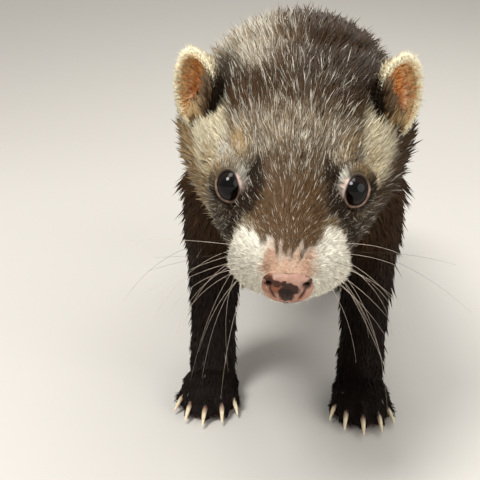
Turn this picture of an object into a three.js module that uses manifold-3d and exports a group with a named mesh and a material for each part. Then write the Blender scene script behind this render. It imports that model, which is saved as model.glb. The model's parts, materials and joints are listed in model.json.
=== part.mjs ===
// A life-size ferret, standing on all four feet with its neck raised and its muzzle lowered.
// Millimetres, +Z up. The animal faces -Y, so its left side is +X. The outline is that of the
// tips of its coat. Every part is a loft of oval rings, joined and parted by booleans.
import * as THREE from 'three';
import { LoftGeometry } from 'three/addons/geometries/LoftGeometry.js';
import { mergeVertices } from 'three/addons/utils/BufferGeometryUtils.js';
import Module from 'manifold-3d';

const wasm = await Module();
wasm.setup();

// Driving dimensions
const NOSE_FORWARD = 158; // nose tip, ahead of the middle of the back
const NOSE_UP = 70;
const HEAD_PITCH = THREE.MathUtils.degToRad(20); // muzzle below the horizontal
const HEAD_HALF_WIDTH = 32.2; // over the fur of the jowls
const MUZZLE_HALF_WIDTH = 14.3; // over the whisker pads
const EYE_RADIUS = 4.6;
const EAR_HEIGHT = 20.4;
const EAR_WIDTH = 20;
const EAR_THICK = 2.6;
const EAR_HOLLOW = 5.2; // depth of the cup
const NOSTRIL_RADIUS = 0.85;
const TRUNK_HALF_WIDTH = 32;
const TAIL_RADIUS = 12;
const FORELEG_APART = 25; // from the middle plane to the middle of a forepaw
const HINDLEG_APART = 30;
const CLAW_RADIUS = 1.1;
const GAP = 0.3; // between two parts that meet
const REACH = 800; // more than the animal's length, for the blocks that cut it

// Where the body is parted: forward, up and lean of each cut, and heights of the cuts in the legs
const NECK_CUT = [62, 90, THREE.MathUtils.degToRad(12)];
const WAIST_CUT = [-28, 82, 0];
const TAIL_CUT = [-192, 66, THREE.MathUtils.degToRad(24)];
const ELBOW_UP = 45;
const KNEE_UP = 46;
const WRIST_UP = 15;
const HOCK_UP = 18;

const COAT = { colour: '#4a3a2c', roughness: 0.85 };
const PALE_COAT = { colour: '#cdbb95', roughness: 0.85 };
const DARK_COAT = { colour: '#251c17', roughness: 0.85 };
const GOLDEN_COAT = { colour: '#8a6c45', roughness: 0.85 };
const EAR_SKIN = { colour: '#d58a58', roughness: 0.7 };
const NOSE_LEATHER = { colour: '#c98f80', roughness: 0.45 };
const EYE_BLACK = { colour: '#0c0b0c', roughness: 0.08 };
const HORN = { colour: '#d9ceb2', roughness: 0.4 };

const at = (x, forward, up) => new THREE.Vector3(x, -forward, up);

// Carries an oval round a row of rings. A ring is [x, forward, up, half width, half height, egg]:
// the width is across the body, the height along the other axis of the ring, and egg above zero
// draws the upper side in. One smooth curve runs through the rings' middles and one through their
// sizes, so a few rings give a full form. grow swells the form by that much all round.
function loft(rings, { across = 16, along = 12, power = 2, grow = 0 } = {}) {
  const middles = new THREE.CatmullRomCurve3(rings.map((r) => at(r[0], r[1], r[2])), false, 'centripetal');
  const sizes = new THREE.CatmullRomCurve3(rings.map((r) => new THREE.Vector3(r[3], r[4], r[5] ?? 0)));
  const sections = [];
  for (let i = 0; i <= along; i++) {
    const t = i / along;
    const middle = middles.getPoint(t);
    const size = sizes.getPoint(t);
    const tangent = middles.getTangent(t);
    const side = new THREE.Vector3(1, 0, 0).addScaledVector(tangent, -tangent.x).normalize();
    const rise = new THREE.Vector3().crossVectors(tangent, side);
    const egg = rise.z < 0 ? -size.z : size.z;
    middle.addScaledVector(tangent, i === 0 ? -grow : i === along ? grow : 0);
    sections.push(Array.from({ length: across }, (_, k) => {
      const angle = (2 * Math.PI * (k + 0.5)) / across;
      const wide = Math.sign(Math.cos(angle)) * Math.abs(Math.cos(angle)) ** (2 / power);
      const high = Math.sign(Math.sin(angle)) * Math.abs(Math.sin(angle)) ** (2 / power);
      return middle.clone()
        .addScaledVector(side, (size.x + grow) * wide * (1 - egg * high))
        .addScaledVector(rise, (size.y + grow) * high);
    }));
  }
  return new LoftGeometry(sections, { capStart: true, capEnd: true });
}

// A closed geometry as a solid, after an optional placement.
function solid(geometry, matrix) {
  const plain = new THREE.BufferGeometry()
    .setAttribute('position', geometry.attributes.position)
    .setIndex(geometry.index);
  if (matrix) plain.applyMatrix4(matrix);
  const merged = mergeVertices(plain, 1e-4);
  const corners = merged.index.array;
  const kept = [];
  for (let i = 0; i < corners.length; i += 3) {
    const [a, b, c] = corners.slice(i, i + 3);
    if (a !== b && b !== c && a !== c) kept.push(a, b, c);
  }
  return new wasm.Manifold(new wasm.Mesh({
    numProp: 3,
    vertProperties: merged.attributes.position.array,
    triVerts: new Uint32Array(kept),
  }));
}

const join = (...solids) => solids.reduce((whole, next) => whole.add(next));
const cut = (whole, ...tools) => tools.reduce((rest, tool) => rest.subtract(tool), whole);
const largest = (whole) => whole.decompose().reduce((a, b) => (a.volume() > b.volume() ? a : b));

// The half of space beyond a plane, as a big box. The plane stands at a point and faces forward
// and up by the given angle, and the box lies ahead of it.
function ahead(forward, up, tilt, shift = 0) {
  const turn = new THREE.Matrix4().makeRotationX(-tilt);
  const box = new THREE.BoxGeometry(REACH, REACH, REACH).translate(0, -REACH / 2 - shift, 0);
  box.applyMatrix4(turn).translate(0, -forward, up);
  return solid(box);
}

// The half of space below a level.
const below = (up) => solid(new THREE.BoxGeometry(REACH, REACH, REACH).translate(0, 0, up - REACH / 2));

// HEAD: worked out in its own frame, with the nose tip at the origin, then pitched and placed.
const headPlace = new THREE.Matrix4()
  .makeTranslation(0, -NOSE_FORWARD, NOSE_UP)
  .multiply(new THREE.Matrix4().makeRotationX(HEAD_PITCH));

// back from the nose tip, half width, top, bottom, egg
const headRing = (back, half, top, bottom, egg) =>
  [0, -back, (top + bottom) / 2, half, (top - bottom) / 2, egg];
const HEAD_RINGS = [
  headRing(1.4, 3.6, 0.8, -6.4, 0),
  headRing(2.4, 7.6, 3.2, -9.0, -0.08),
  headRing(6.0, 0.85 * MUZZLE_HALF_WIDTH, 5.4, -12.0, 0.02),
  headRing(11.0, MUZZLE_HALF_WIDTH, 7.0, -13.6, 0.12), // whisker pads
  headRing(17.0, MUZZLE_HALF_WIDTH - 0.5, 9.4, -14.8, 0.22),
  headRing(23.0, 15.0, 12.6, -16.2, 0.22), // stop
  headRing(29.0, 17.9, 16.2, -18.4, 0.16), // eyes
  headRing(36.0, 21.4, 19.8, -21.0, 0.04),
  headRing(44.0, 25.0, 22.6, -23.6, -0.08),
  headRing(52.0, 28.4, 24.2, -25.2, -0.14), // crown
  headRing(60.0, HEAD_HALF_WIDTH - 1.4, 25.4, -26.2, -0.15),
  headRing(68.0, HEAD_HALF_WIDTH - 0.6, 26.0, -26.6, -0.12), // jowls
  headRing(75.0, HEAD_HALF_WIDTH - 3.4, 23.5, -23.5, -0.06),
  headRing(79.5, 15.0, 13.0, -13.0, 0),
];
const headLoft = (grow) => solid(loft(HEAD_RINGS, { across: 22, along: 22, power: 2.15, grow }), headPlace);

// Eyes look outward, forward and a little up.
const EYE_PLACE = new THREE.Vector3(13.8, 28.4, 5.6);
const sideways = (place, side) => new THREE.Vector3(side * place.x, place.y, place.z);
function eyeball(side, radius) {
  const place = sideways(EYE_PLACE, side);
  return solid(new THREE.SphereGeometry(radius, 12, 8).translate(place.x, place.y, place.z), headPlace);
}
// The face is hollowed a little round each eye, so that the eye shows between its lids. The
// hollow's middle lies ahead of the eyeball's, along the gaze.
const LID_SHIFT = new THREE.Vector3(2.0, -2.8, 1.4);
const LID_OPENING = new THREE.Vector3(4.6, 4.4, 5.2);
function eyeHollow(side) {
  const place = sideways(EYE_PLACE, side).add(sideways(LID_SHIFT, side));
  const hollow = new THREE.SphereGeometry(1, 12, 8).scale(LID_OPENING.x, LID_OPENING.y, LID_OPENING.z);
  hollow.translate(place.x, place.y, place.z);
  return join(eyeball(side, EYE_RADIUS + GAP), solid(hollow, headPlace));
}

// An ear is a shallow cup, worked out as rings from the middle of its hollow, over the rim and
// back to the middle of its outer side. It is turned outward, then back, then aside.
const EAR_PLACE = new THREE.Vector3(25.2, 55.5, 18.2);
const EAR_TURN = { outward: 0.9, back: -0.12, aside: -0.06 };
const EAR_POWER = 2.4; // of its outline: 2 is an oval and more is squarer
const EAR_REACH = [0, 0.36, 0.68, 0.9, 1, 0.96, 0.78, 0.45, 0];
const EAR_RIM = EAR_REACH.indexOf(1);
function earCup(side) {
  const middle = sideways(EAR_PLACE, side);
  const place = new THREE.Matrix4().makeTranslation(middle);
  const turn = new THREE.Matrix4().makeRotationZ(side * EAR_TURN.outward)
    .multiply(new THREE.Matrix4().makeRotationX(EAR_TURN.back))
    .multiply(new THREE.Matrix4().makeRotationY(side * EAR_TURN.aside));
  const around = 14;
  const sections = EAR_REACH.map((r, i) => Array.from({ length: around }, (_, k) => {
    const angle = (-2 * Math.PI * k) / around;
    const bowl = EAR_HOLLOW * (1 - r ** 2) - 1.2;
    const wall = i <= EAR_RIM ? -EAR_THICK / 2 : EAR_THICK / 2;
    const taper = Math.sqrt(Math.max(0, 1 - r ** 6));
    const wide = Math.cos(angle);
    const high = Math.sin(angle);
    const reach = r * (Math.abs(wide) ** EAR_POWER + Math.abs(high) ** EAR_POWER) ** (-1 / EAR_POWER);
    return new THREE.Vector3(
      (EAR_WIDTH / 2) * reach * wide,
      bowl + wall * taper,
      (EAR_HEIGHT / 2) * reach * high * (1 - 0.06 * Math.cos(2 * angle)),
    );
  }));
  return solid(new LoftGeometry(sections), headPlace.clone().multiply(place).multiply(turn));
}

// The nose leather: a rounded pad, wider above, with a nostril in each side.
const NOSE_RINGS = [
  [0, -4.6, -3.8, 5.2, 3.2, 0.1],
  [0, -2.6, -3.8, 5.8, 3.7, 0.12],
  [0, -1.0, -3.8, 5.6, 3.6, 0.12],
  [0, 0.3, -4.0, 4.4, 2.9, 0.1],
  [0, 0.9, -4.1, 2.2, 1.5, 0],
];
const noseLoft = (grow) => solid(loft(NOSE_RINGS, { across: 14, along: 6, power: 2.3, grow }), headPlace);
const NOSTRIL_PLACE = new THREE.Vector3(3.0, 0.2, -4.3);
function nostril(side) {
  const depth = 4 * NOSTRIL_RADIUS;
  const hole = new THREE.CylinderGeometry(NOSTRIL_RADIUS, 0.6 * NOSTRIL_RADIUS, depth, 8);
  hole.rotateX(Math.PI / 2);
  const place = sideways(NOSTRIL_PLACE, side);
  hole.rotateZ(side * 0.5).translate(place.x, place.y, place.z);
  return solid(hole, headPlace);
}

// The lower jaw, from a side outline under the line of the lips, as wide as the head.
const LIP_UP = -9.4; // at the front
const MOUTH_BACK = 23; // corner of the mouth
const CHIN_BELOW = -30;
function jawBlock(grow) {
  const outline = new THREE.Shape();
  outline.moveTo(0, LIP_UP + grow);
  outline.lineTo(9, LIP_UP - 0.8 + grow);
  outline.quadraticCurveTo(17, LIP_UP - 2.4 + grow, MOUTH_BACK + grow, LIP_UP - 0.4 + grow);
  outline.lineTo(MOUTH_BACK + 4 + grow, CHIN_BELOW);
  outline.lineTo(0, CHIN_BELOW);
  const depth = 2 * HEAD_HALF_WIDTH;
  const block = new THREE.ExtrudeGeometry(outline, { depth, bevelEnabled: false, curveSegments: 5 });
  block.translate(0, 0, -depth / 2).applyMatrix4(new THREE.Matrix4().makeBasis(
    new THREE.Vector3(0, 1, 0), new THREE.Vector3(0, 0, 1), new THREE.Vector3(1, 0, 0)));
  return solid(block, headPlace);
}

// TRUNK and NECK: one row of rings from the rump forward and up into the head.
const W = TRUNK_HALF_WIDTH;
const BODY_RINGS = [
  [0, -139, 79, 7, 9],
  [0, -135, 79, 17, 19],
  [0, -124, 80, 0.84 * W, 26],
  [0, -106, 83, 0.98 * W, 30.5, 0.08], // hips
  [0, -76, 88, W, 33, 0.1],
  [0, -42, 88, 0.97 * W, 33, 0.08], // loin
  [0, -8, 85.5, 0.98 * W, 33, 0.03],
  [0, 24, 86, W, 33, 0.02], // ribs
  [0, 48, 91.5, 0.98 * W, 31.5, 0.03], // shoulders
  [0, 66, 98, 0.95 * W, 30, 0.03],
  [0, 80, 99, 0.95 * W, 28.5, 0.02], // neck
  [0, 91, 95, 0.93 * W, 26, 0],
  [0, 100, 91, 0.7 * W, 19, 0],
];
const bodyLoft = (grow = 0) => solid(loft(BODY_RINGS, { across: 20, along: 24, power: 2.15, grow }));

const TAIL_RINGS = [
  [0, -118, 84, 0.8 * TAIL_RADIUS, 0.8 * TAIL_RADIUS],
  [0, -134, 86, 1.05 * TAIL_RADIUS, 1.1 * TAIL_RADIUS],
  [0, -158, 80, TAIL_RADIUS, TAIL_RADIUS],
  [0, -186, 68, 0.95 * TAIL_RADIUS, 0.95 * TAIL_RADIUS],
  [0, -212, 56, 0.84 * TAIL_RADIUS, 0.84 * TAIL_RADIUS],
  [0, -232, 48, 0.6 * TAIL_RADIUS, 0.6 * TAIL_RADIUS],
  [0, -247, 43, 0.28 * TAIL_RADIUS, 0.28 * TAIL_RADIUS],
  [0, -254, 41, 0.06 * TAIL_RADIUS, 0.06 * TAIL_RADIUS],
];

// LEGS: rings down a leg, with the width across the body and the height fore and aft.
const foreleg = (side) => [
  [side * 12, 54, 97, 4, 7],
  [side * 17, 55, 91, 8.5, 14],
  [side * 22.5, 55, 76, 12, 20.5], // shoulder
  [side * 25.5, 51, 60, 11, 18],
  [side * 26.5, 46, 47, 9.6, 13.6], // elbow
  [side * 26.5, 47.5, 34, 8.4, 10.2],
  [side * 26, 52, 22, 7.6, 8.4],
  [side * (FORELEG_APART + 0.5), 57, 12, 7.8, 7.8], // wrist
  [side * FORELEG_APART, 60, 5, 7, 7],
];
const hindleg = (side) => [
  [side * 12, -92, 101, 4, 8],
  [side * 16.5, -93, 95, 9, 17],
  [side * 23.2, -92, 81, 13.6, 27.5], // thigh
  [side * 27.5, -87, 63, 12.4, 25],
  [side * 29.5, -82, 48, 10.6, 18], // knee
  [side * 30, -89, 36, 8.8, 12.8],
  [side * 30.5, -100, 25, 7.4, 9.4], // hock
  [side * (HINDLEG_APART + 0.4), -101, 15, 7.2, 8.2],
  [side * HINDLEG_APART, -96, 6, 7, 8],
];

// PAWS: a flat palm and five toes that fan out from it, each with a claw.
const forePaw = { apart: FORELEG_APART, heel: 50, palm: 27, half: 9.6, tall: 7.4 };
const hindPaw = { apart: HINDLEG_APART, heel: -110, palm: 36, half: 9.8, tall: 7.2 };
const TOES = [
  { turn: -0.42, start: -0.74, reach: 6.2 },
  { turn: -0.2, start: -0.38, reach: 11.0 },
  { turn: 0, start: 0, reach: 12.6 },
  { turn: 0.2, start: 0.38, reach: 11.0 },
  { turn: 0.42, start: 0.74, reach: 6.2 },
];
function palm({ apart, heel, palm: length, half, tall }, side) {
  return solid(loft([
    [side * apart, heel, 4, 3.6, 3.6],
    [side * apart, heel + 4, 4.4, 0.66 * half, 5.4],
    [side * apart, heel + 0.5 * length, tall - 2, 0.9 * half, tall - 0.6],
    [side * apart, heel + 0.84 * length, tall - 3, half, tall - 2.2],
    [side * apart, heel + length, 3, 0.8 * half, 3.4],
  ], { across: 12, along: 5, power: 2.3 }));
}
// A toe or claw runs along a heading that is turned outward from straight ahead.
function alongToe({ apart, heel, palm: length, half }, side, toe) {
  const back = 4 + 5 * Math.abs(toe.turn);
  const start = new THREE.Vector2(side * apart + 0.86 * half * toe.start, heel + length - back);
  const heading = new THREE.Vector2(Math.sin(toe.turn), Math.cos(toe.turn));
  return (distance) => start.clone().addScaledVector(heading, distance);
}
function digit(paw, side, toe) {
  const place = alongToe(paw, side, toe);
  const ring = (distance, up, wide, high) => [place(distance).x, place(distance).y, up, wide, high];
  return solid(loft([
    ring(-3, 4.2, 2.4, 2.8),
    ring(0.35 * toe.reach, 4.1, 2.7, 3.6),
    ring(0.8 * toe.reach, 2.7, 2.8, 3.1),
    ring(toe.reach, 2.3, 1.9, 2.2),
    ring(toe.reach + 0.8, 2.2, 0.9, 1.1),
  ], { across: 6, along: 4, power: 2.1 }));
}
function claw(paw, side, toe, grow = 0) {
  const place = alongToe(paw, side, toe);
  const ring = (distance, up, thick) => [place(distance).x, place(distance).y, up, 0.8 * thick, thick];
  return solid(loft([
    ring(toe.reach - 2.4, 3.0, CLAW_RADIUS),
    ring(toe.reach + 0.8, 3.6, CLAW_RADIUS),
    ring(toe.reach + 3.4, 2.9, 0.8 * CLAW_RADIUS),
    ring(toe.reach + 5.2, 1.2, 0.45 * CLAW_RADIUS),
  ], { across: 5, along: 3, grow }));
}

const root = new THREE.Group();
function place(name, made, { colour, roughness }, tolerance = 0.08) {
  const mesh = largest(made.simplify(tolerance)).getMesh();
  const geometry = new THREE.BufferGeometry()
    .setAttribute('position', new THREE.BufferAttribute(mesh.vertProperties, 3))
    .setIndex(new THREE.BufferAttribute(mesh.triVerts, 1));
  geometry.computeVertexNormals();
  const material = new THREE.MeshStandardMaterial({ color: colour, roughness, metalness: 0 });
  const shown = new THREE.Mesh(geometry, material);
  shown.name = name;
  root.add(shown);
}

const SIDES = [['left', 1], ['right', -1]];
const head = headLoft(0);
const grownHead = headLoft(GAP);
const jaw = jawBlock(0);

const hollows = SIDES.map(([, side]) => eyeHollow(side));
const nose = cut(noseLoft(0), nostril(1), nostril(-1));
place('head', cut(head, jawBlock(GAP), noseLoft(GAP), ...hollows), COAT);
place('lower_jaw', cut(head.intersect(jaw), noseLoft(GAP)), PALE_COAT);
place('nose', nose, NOSE_LEATHER);
for (const [word, side] of SIDES) {
  place(`eye_${word}`, eyeball(side, EYE_RADIUS), EYE_BLACK);
  place(`ear_${word}`, cut(earCup(side), grownHead), EAR_SKIN);
}

const forelegs = SIDES.map(([, side]) => solid(loft(foreleg(side), { across: 12, along: 12 })));
const hindlegs = SIDES.map(([, side]) => solid(loft(hindleg(side), { across: 12, along: 12 })));
const sockets = [
  ...SIDES.map(([, side]) => solid(loft(foreleg(side), { across: 12, along: 12, grow: GAP }))),
  ...SIDES.map(([, side]) => solid(loft(hindleg(side), { across: 12, along: 12, grow: GAP }))),
];
const body = cut(bodyLoft(), grownHead, ...sockets);
place('neck', body.intersect(ahead(...NECK_CUT)), DARK_COAT);
place('chest', cut(body, ahead(...NECK_CUT, -GAP)).intersect(ahead(...WAIST_CUT)), GOLDEN_COAT);
place('loin', cut(body, ahead(...WAIST_CUT, -GAP)), GOLDEN_COAT);

const tail = cut(solid(loft(TAIL_RINGS, { across: 12, along: 14 })), bodyLoft(GAP), sockets[2], sockets[3]);
place('tail_base', tail.intersect(ahead(...TAIL_CUT)), COAT);
place('tail_tip', cut(tail, ahead(...TAIL_CUT, -GAP)), DARK_COAT);

SIDES.forEach(([word, side], i) => {
  for (const [leg, paw, names, upper, lower] of [
    [forelegs[i], forePaw, ['upper_arm', 'forearm', 'forepaw', 'foreclaw'], ELBOW_UP, WRIST_UP],
    [hindlegs[i], hindPaw, ['thigh', 'shank', 'hindpaw', 'hindclaw'], KNEE_UP, HOCK_UP],
  ]) {
    place(`${names[0]}_${word}`, cut(leg, below(upper)), DARK_COAT);
    place(`${names[1]}_${word}`, cut(leg.intersect(below(upper - GAP)), below(lower)), DARK_COAT);
    const toes = TOES.map((toe) => digit(paw, side, toe));
    const foot = cut(join(leg, palm(paw, side), ...toes).intersect(below(lower - GAP)), below(0));
    const claws = TOES.map((toe) => claw(paw, side, toe));
    place(`${names[2]}_${word}`, cut(foot, ...TOES.map((toe) => claw(paw, side, toe, GAP))), DARK_COAT, 0.2);
    TOES.forEach((toe, k) => {
      place(`${names[3]}_${word}_${k + 1}`, claws[k], HORN);
    });
  }
});

// The origin goes to the floor under the middle of the whole animal.
const middle = new THREE.Box3().setFromObject(root).getCenter(new THREE.Vector3());
root.position.set(0, -middle.y, 0);

export default root;
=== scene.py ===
"""A life-size ferret in a museum stance: skin, eyes, nose, ears, claws, whiskers and coat.

The solids of the frame give the outline over the tips of the coat. One skin is worked out
from them and lies inside them by the depth of the coat, and every hair grows from that skin.
Shapes are in millimetres here and are turned to metres when a mesh is made.
"""

from __future__ import annotations

import json
import logging
import math
from dataclasses import dataclass, field
from enum import Enum
from typing import Callable

import bmesh
import bpy
import numpy as np
from mathutils import Matrix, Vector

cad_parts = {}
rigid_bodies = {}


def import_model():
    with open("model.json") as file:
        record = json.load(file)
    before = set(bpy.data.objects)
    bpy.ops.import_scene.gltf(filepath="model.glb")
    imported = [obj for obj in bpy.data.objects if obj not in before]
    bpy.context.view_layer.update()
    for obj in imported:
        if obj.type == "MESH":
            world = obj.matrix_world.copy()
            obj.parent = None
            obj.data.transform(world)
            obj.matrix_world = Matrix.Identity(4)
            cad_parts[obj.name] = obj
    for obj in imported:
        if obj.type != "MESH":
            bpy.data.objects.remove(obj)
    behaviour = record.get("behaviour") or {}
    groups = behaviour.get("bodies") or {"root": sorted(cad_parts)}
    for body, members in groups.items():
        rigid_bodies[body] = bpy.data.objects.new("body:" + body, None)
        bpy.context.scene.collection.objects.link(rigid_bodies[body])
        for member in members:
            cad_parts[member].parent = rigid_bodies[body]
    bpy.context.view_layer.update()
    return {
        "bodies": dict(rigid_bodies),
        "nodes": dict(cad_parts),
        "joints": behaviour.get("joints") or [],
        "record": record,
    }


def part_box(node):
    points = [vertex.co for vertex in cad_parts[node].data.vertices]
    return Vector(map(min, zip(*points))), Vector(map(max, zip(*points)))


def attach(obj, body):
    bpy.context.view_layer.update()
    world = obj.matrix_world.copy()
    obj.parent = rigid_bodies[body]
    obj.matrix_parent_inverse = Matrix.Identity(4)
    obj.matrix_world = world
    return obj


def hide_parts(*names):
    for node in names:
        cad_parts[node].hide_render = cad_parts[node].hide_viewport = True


LOG = logging.getLogger("ferret")
MM = 0.001
WIDEST = 46.4  # furthest that a hair reaches from the middle plane, in millimetres
LOWEST = 0.03  # least height of a hair over the floor
ROOT_DEPTH = 0.3  # how far a hair starts under the skin
BEND = 0.45  # share of a hair's length that lies below its bend
SETTLED = 0.65  # how far the coat's normals are turned to the skin's
BODY = "root"
SEED = 29
NOSE_FORWARD = 158.0  # nose tip, ahead of the middle of the back, as in the solids
SIDES = (("left", 1.0), ("right", -1.0))

Array = np.ndarray
Stops = tuple[tuple[float, float, float, float], ...]


# Small mathematics on whole arrays


def unit(vectors: Array) -> Array:
    """Vectors over their own lengths."""
    return vectors / np.maximum(np.linalg.norm(vectors, axis=-1, keepdims=True), 1e-9)


def ramp(low: float, high: float, values: Array) -> Array:
    """A smooth step: 0 below low, 1 above high, with the cubic 3t^2 - 2t^3 between."""
    t = np.clip((values - low) / (high - low), 0.0, 1.0)
    return t * t * (3.0 - 2.0 * t)


def fall(low: float, high: float, values: Array) -> Array:
    """The same step downward: 1 below low and 0 above high."""
    return 1.0 - ramp(low, high, values)


def band(low: float, high: float, soft: float, values: Array) -> Array:
    """1 between low and high, fading to 0 over soft on either side."""
    return ramp(low - soft, low + soft, values) * fall(high - soft, high + soft, values)


def bell(values: Array, width: float) -> Array:
    """A bell curve, exp(-(values / width)^2), which is 1 at 0."""
    return np.exp(-((values / width) ** 2))


def turn_bell(turn: Array, at: float, width: float) -> Array:
    """A bell curve round a full turn, with its top at one angle."""
    return bell(np.angle(np.exp(1j * (turn - at))), width)


def mix(a: Array, b: Array, share: Array) -> Array:
    """a where share is 0 and b where it is 1, row by row; each is rows or one colour for all rows."""
    return a + (b - a) * share[:, None]


def distance(points: Array, place: Array) -> Array:
    """How far each point lies from one place."""
    return np.linalg.norm(points - place, axis=1)


def flatten(vectors: Array, normals: Array) -> Array:
    """Vectors less their own parts along the normals, so that they lie along the surface."""
    return vectors - (vectors * normals).sum(axis=1, keepdims=True) * normals


def full_turn(count: int) -> Array:
    """Even angles round a full turn, from 0."""
    return np.arange(count) * 2.0 * math.pi / count


def superoval(turn: Array, power: float) -> Array:
    """Radius at each angle of |x|^power + |y|^power = 1, which is a circle at 2 and squarer above."""
    return (np.abs(np.cos(turn)) ** power + np.abs(np.sin(turn)) ** power) ** (-1.0 / power)


def sphere_points(reach: Array, polar: Array, turn: Array) -> Array:
    """Places at a distance from the middle, an angle from the third axis and a turn round it."""
    across = reach * np.sin(polar)
    x, y, z = np.broadcast_arrays(across * np.cos(turn), across * np.sin(turn), reach * np.cos(polar))
    return np.stack([x, y, z], axis=-1)


def lattice_noise(points: Array, cell: float, seed: int) -> Array:
    """Smooth noise from 0 to 1: hashed values on a lattice of cells, blended across each cell.

    Args:
        points: (n, 3) places in millimetres.
        cell: size of one lattice cell in millimetres.
        seed: a whole number that picks one noise among many.

    Returns:
        (n,) values.
    """
    scaled = points / cell
    base = np.floor(scaled).astype(np.int64)
    part = scaled - base
    part = part * part * (3.0 - 2.0 * part)
    total = np.zeros(len(points))
    for corner in np.ndindex(2, 2, 2):
        i, j, k = (base + np.array(corner)).T
        hashed = (i * 73856093) ^ (j * 19349663) ^ (k * 83492791) ^ (seed * 2654435761)
        hashed &= 0xFFFFFFFF
        hashed = ((hashed ^ (hashed >> 13)) * 1274126177) & 0xFFFFFFFF
        hashed ^= hashed >> 16
        weight = np.prod(np.where(np.array(corner) == 1, part, 1.0 - part), axis=1)
        total += weight * (hashed & 0xFFFF) / 65535.0
    return total


def noise_vectors(points: Array, cell: float, seed: int) -> Array:
    """Three noises side by side, each from -1 to 1."""
    return np.stack([2.0 * lattice_noise(points, cell, seed + k) - 1.0 for k in range(3)], axis=1)


def linear(hex_colour: str) -> Array:
    """An sRGB hex colour as linear red, green and blue."""
    value = np.array([int(hex_colour[i : i + 2], 16) for i in (1, 3, 5)]) / 255.0
    return np.where(value <= 0.04045, value / 12.92, ((value + 0.055) / 1.055) ** 2.4)


# Meshes and nodes


def new_piece(name: str, points: Array, faces: Array) -> bpy.types.Object:
    """A smooth mesh object from arrays, with its place in its mesh.

    Args:
        name: the piece's name.
        points: (n, 3) vertices in millimetres.
        faces: (m, k) vertex numbers, k corners to each face.

    Returns:
        The object, riding on the body.
    """
    mesh = bpy.data.meshes.new(name)
    count, corners = faces.shape
    mesh.vertices.add(len(points))
    mesh.vertices.foreach_set("co", (points * MM).astype(np.float32).ravel())
    mesh.loops.add(count * corners)
    mesh.loops.foreach_set("vertex_index", faces.astype(np.int32).ravel())
    mesh.polygons.add(count)
    mesh.polygons.foreach_set("loop_start", np.arange(0, count * corners, corners, dtype=np.int32))
    mesh.polygons.foreach_set("use_smooth", np.full(count, True))
    mesh.update(calc_edges=True)
    piece = bpy.data.objects.new(name, mesh)
    bpy.context.scene.collection.objects.link(piece)
    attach(piece, BODY)
    return piece


def paint(piece: bpy.types.Object, colours: Array) -> None:
    """Stores (n, 3) linear colours on the vertices as the attribute that the materials read."""
    layer = piece.data.color_attributes.new("marking", "FLOAT_COLOR", "POINT")
    rgba = np.concatenate([np.clip(colours, 0.0, 1.0), np.ones((len(colours), 1))], axis=1)
    layer.data.foreach_set("color", rgba.astype(np.float32).ravel())


def dress(piece: bpy.types.Object, material: bpy.types.Material, slot: str, *nodes: str) -> None:
    """Gives a piece its material and hides the solids that it stands for."""
    piece.data.materials.clear()
    piece.data.materials.append(material)
    if nodes:
        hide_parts(*nodes)
    LOG.info("%s: %d faces of %s", piece.name, len(piece.data.polygons), material.name)


def grid_faces(rows: int, columns: int) -> Array:
    """Quads between neighbours of a grid of rows by columns whose last column meets its first."""
    i, j = np.meshgrid(np.arange(rows - 1), np.arange(columns), indexing="ij")
    right, below = (j + 1) % columns, (i + 1) * columns
    quads = np.stack([i * columns + j, i * columns + right, below + right, below + j])
    return quads.reshape(4, -1).T


def tube_faces(rows: int, columns: int) -> Array:
    """Triangles of a closed tube: its grid, and a fan on one more vertex at each end.

    The grid holds rows by columns vertices, followed by the first pole and then the last pole.
    """
    quads = grid_faces(rows, columns)
    wall = np.concatenate([quads[:, [0, 1, 2]], quads[:, [0, 2, 3]]])
    ring = np.arange(columns)
    after = (ring + 1) % columns
    first = np.full(columns, rows * columns)
    start = np.stack([after, ring, first], axis=1)
    end_ring = (rows - 1) * columns
    end = np.stack([end_ring + ring, end_ring + after, first + 1], axis=1)
    return np.concatenate([wall, start, end])


def add_node(tree: bpy.types.NodeTree, kind: str, settings: dict, links: dict) -> bpy.types.Node:
    """Adds one shader node.

    Args:
        tree: the material's node tree.
        kind: the node's type name.
        settings: attribute or input name to value.
        links: input name to the output socket that feeds it.

    Returns:
        The node.
    """
    node = tree.nodes.new(kind)
    for key, value in settings.items():
        if hasattr(node, key):
            setattr(node, key, value)
        else:
            node.inputs[key].default_value = value
    for key, socket in links.items():
        tree.links.new(socket, node.inputs[key])
    return node


# The frame of the head


@dataclass(frozen=True)
class HeadFrame:
    """The head's own frame: x to the animal's left, s back from the nose tip, z up from its axis."""

    pitch: float = math.radians(20.0)
    eye_back: float = 28.4
    eye_up: float = 5.6
    eye_side: float = 14.4

    def axes(self) -> Array:
        """Rows: the directions of x, s and z in the row frame."""
        c, s = math.cos(self.pitch), math.sin(self.pitch)
        return np.array([[1.0, 0.0, 0.0], [0.0, c, s], [0.0, -s, c]])

    def origin(self) -> Array:
        """The nose tip, found from the middles of the two eye solids."""
        corners = [np.array(corner) for side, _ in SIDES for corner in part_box(f"eye_{side}")]
        middle = np.mean(corners, axis=0) / MM
        middle[0] = 0.0
        return middle - np.array([0.0, self.eye_back, self.eye_up]) @ self.axes()

    def to_world(self, local: Array) -> Array:
        """Places in the head's frame as places in the row frame."""
        return local @ self.axes() + self.origin()

    def to_local(self, world: Array) -> Array:
        """Places in the row frame as places in the head's frame."""
        return (world - self.origin()) @ self.axes().T

    def eye(self, side: float) -> Array:
        """Middle of one eyeball, in the head's frame."""
        return np.array([side * self.eye_side, self.eye_back, self.eye_up])


HEAD = HeadFrame()


def trunk_point(side: float, forward: float, up: float) -> Array:
    """A place given as side, forward and up, as the solids' rings are, in the row frame."""
    return np.array([side, HEAD.origin()[1] + NOSE_FORWARD - forward, up])


def ahead(world: Array) -> Array:
    """How far each place in the row frame lies ahead of the middle of the back."""
    return NOSE_FORWARD - (world[:, 1] - HEAD.origin()[1])


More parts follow.
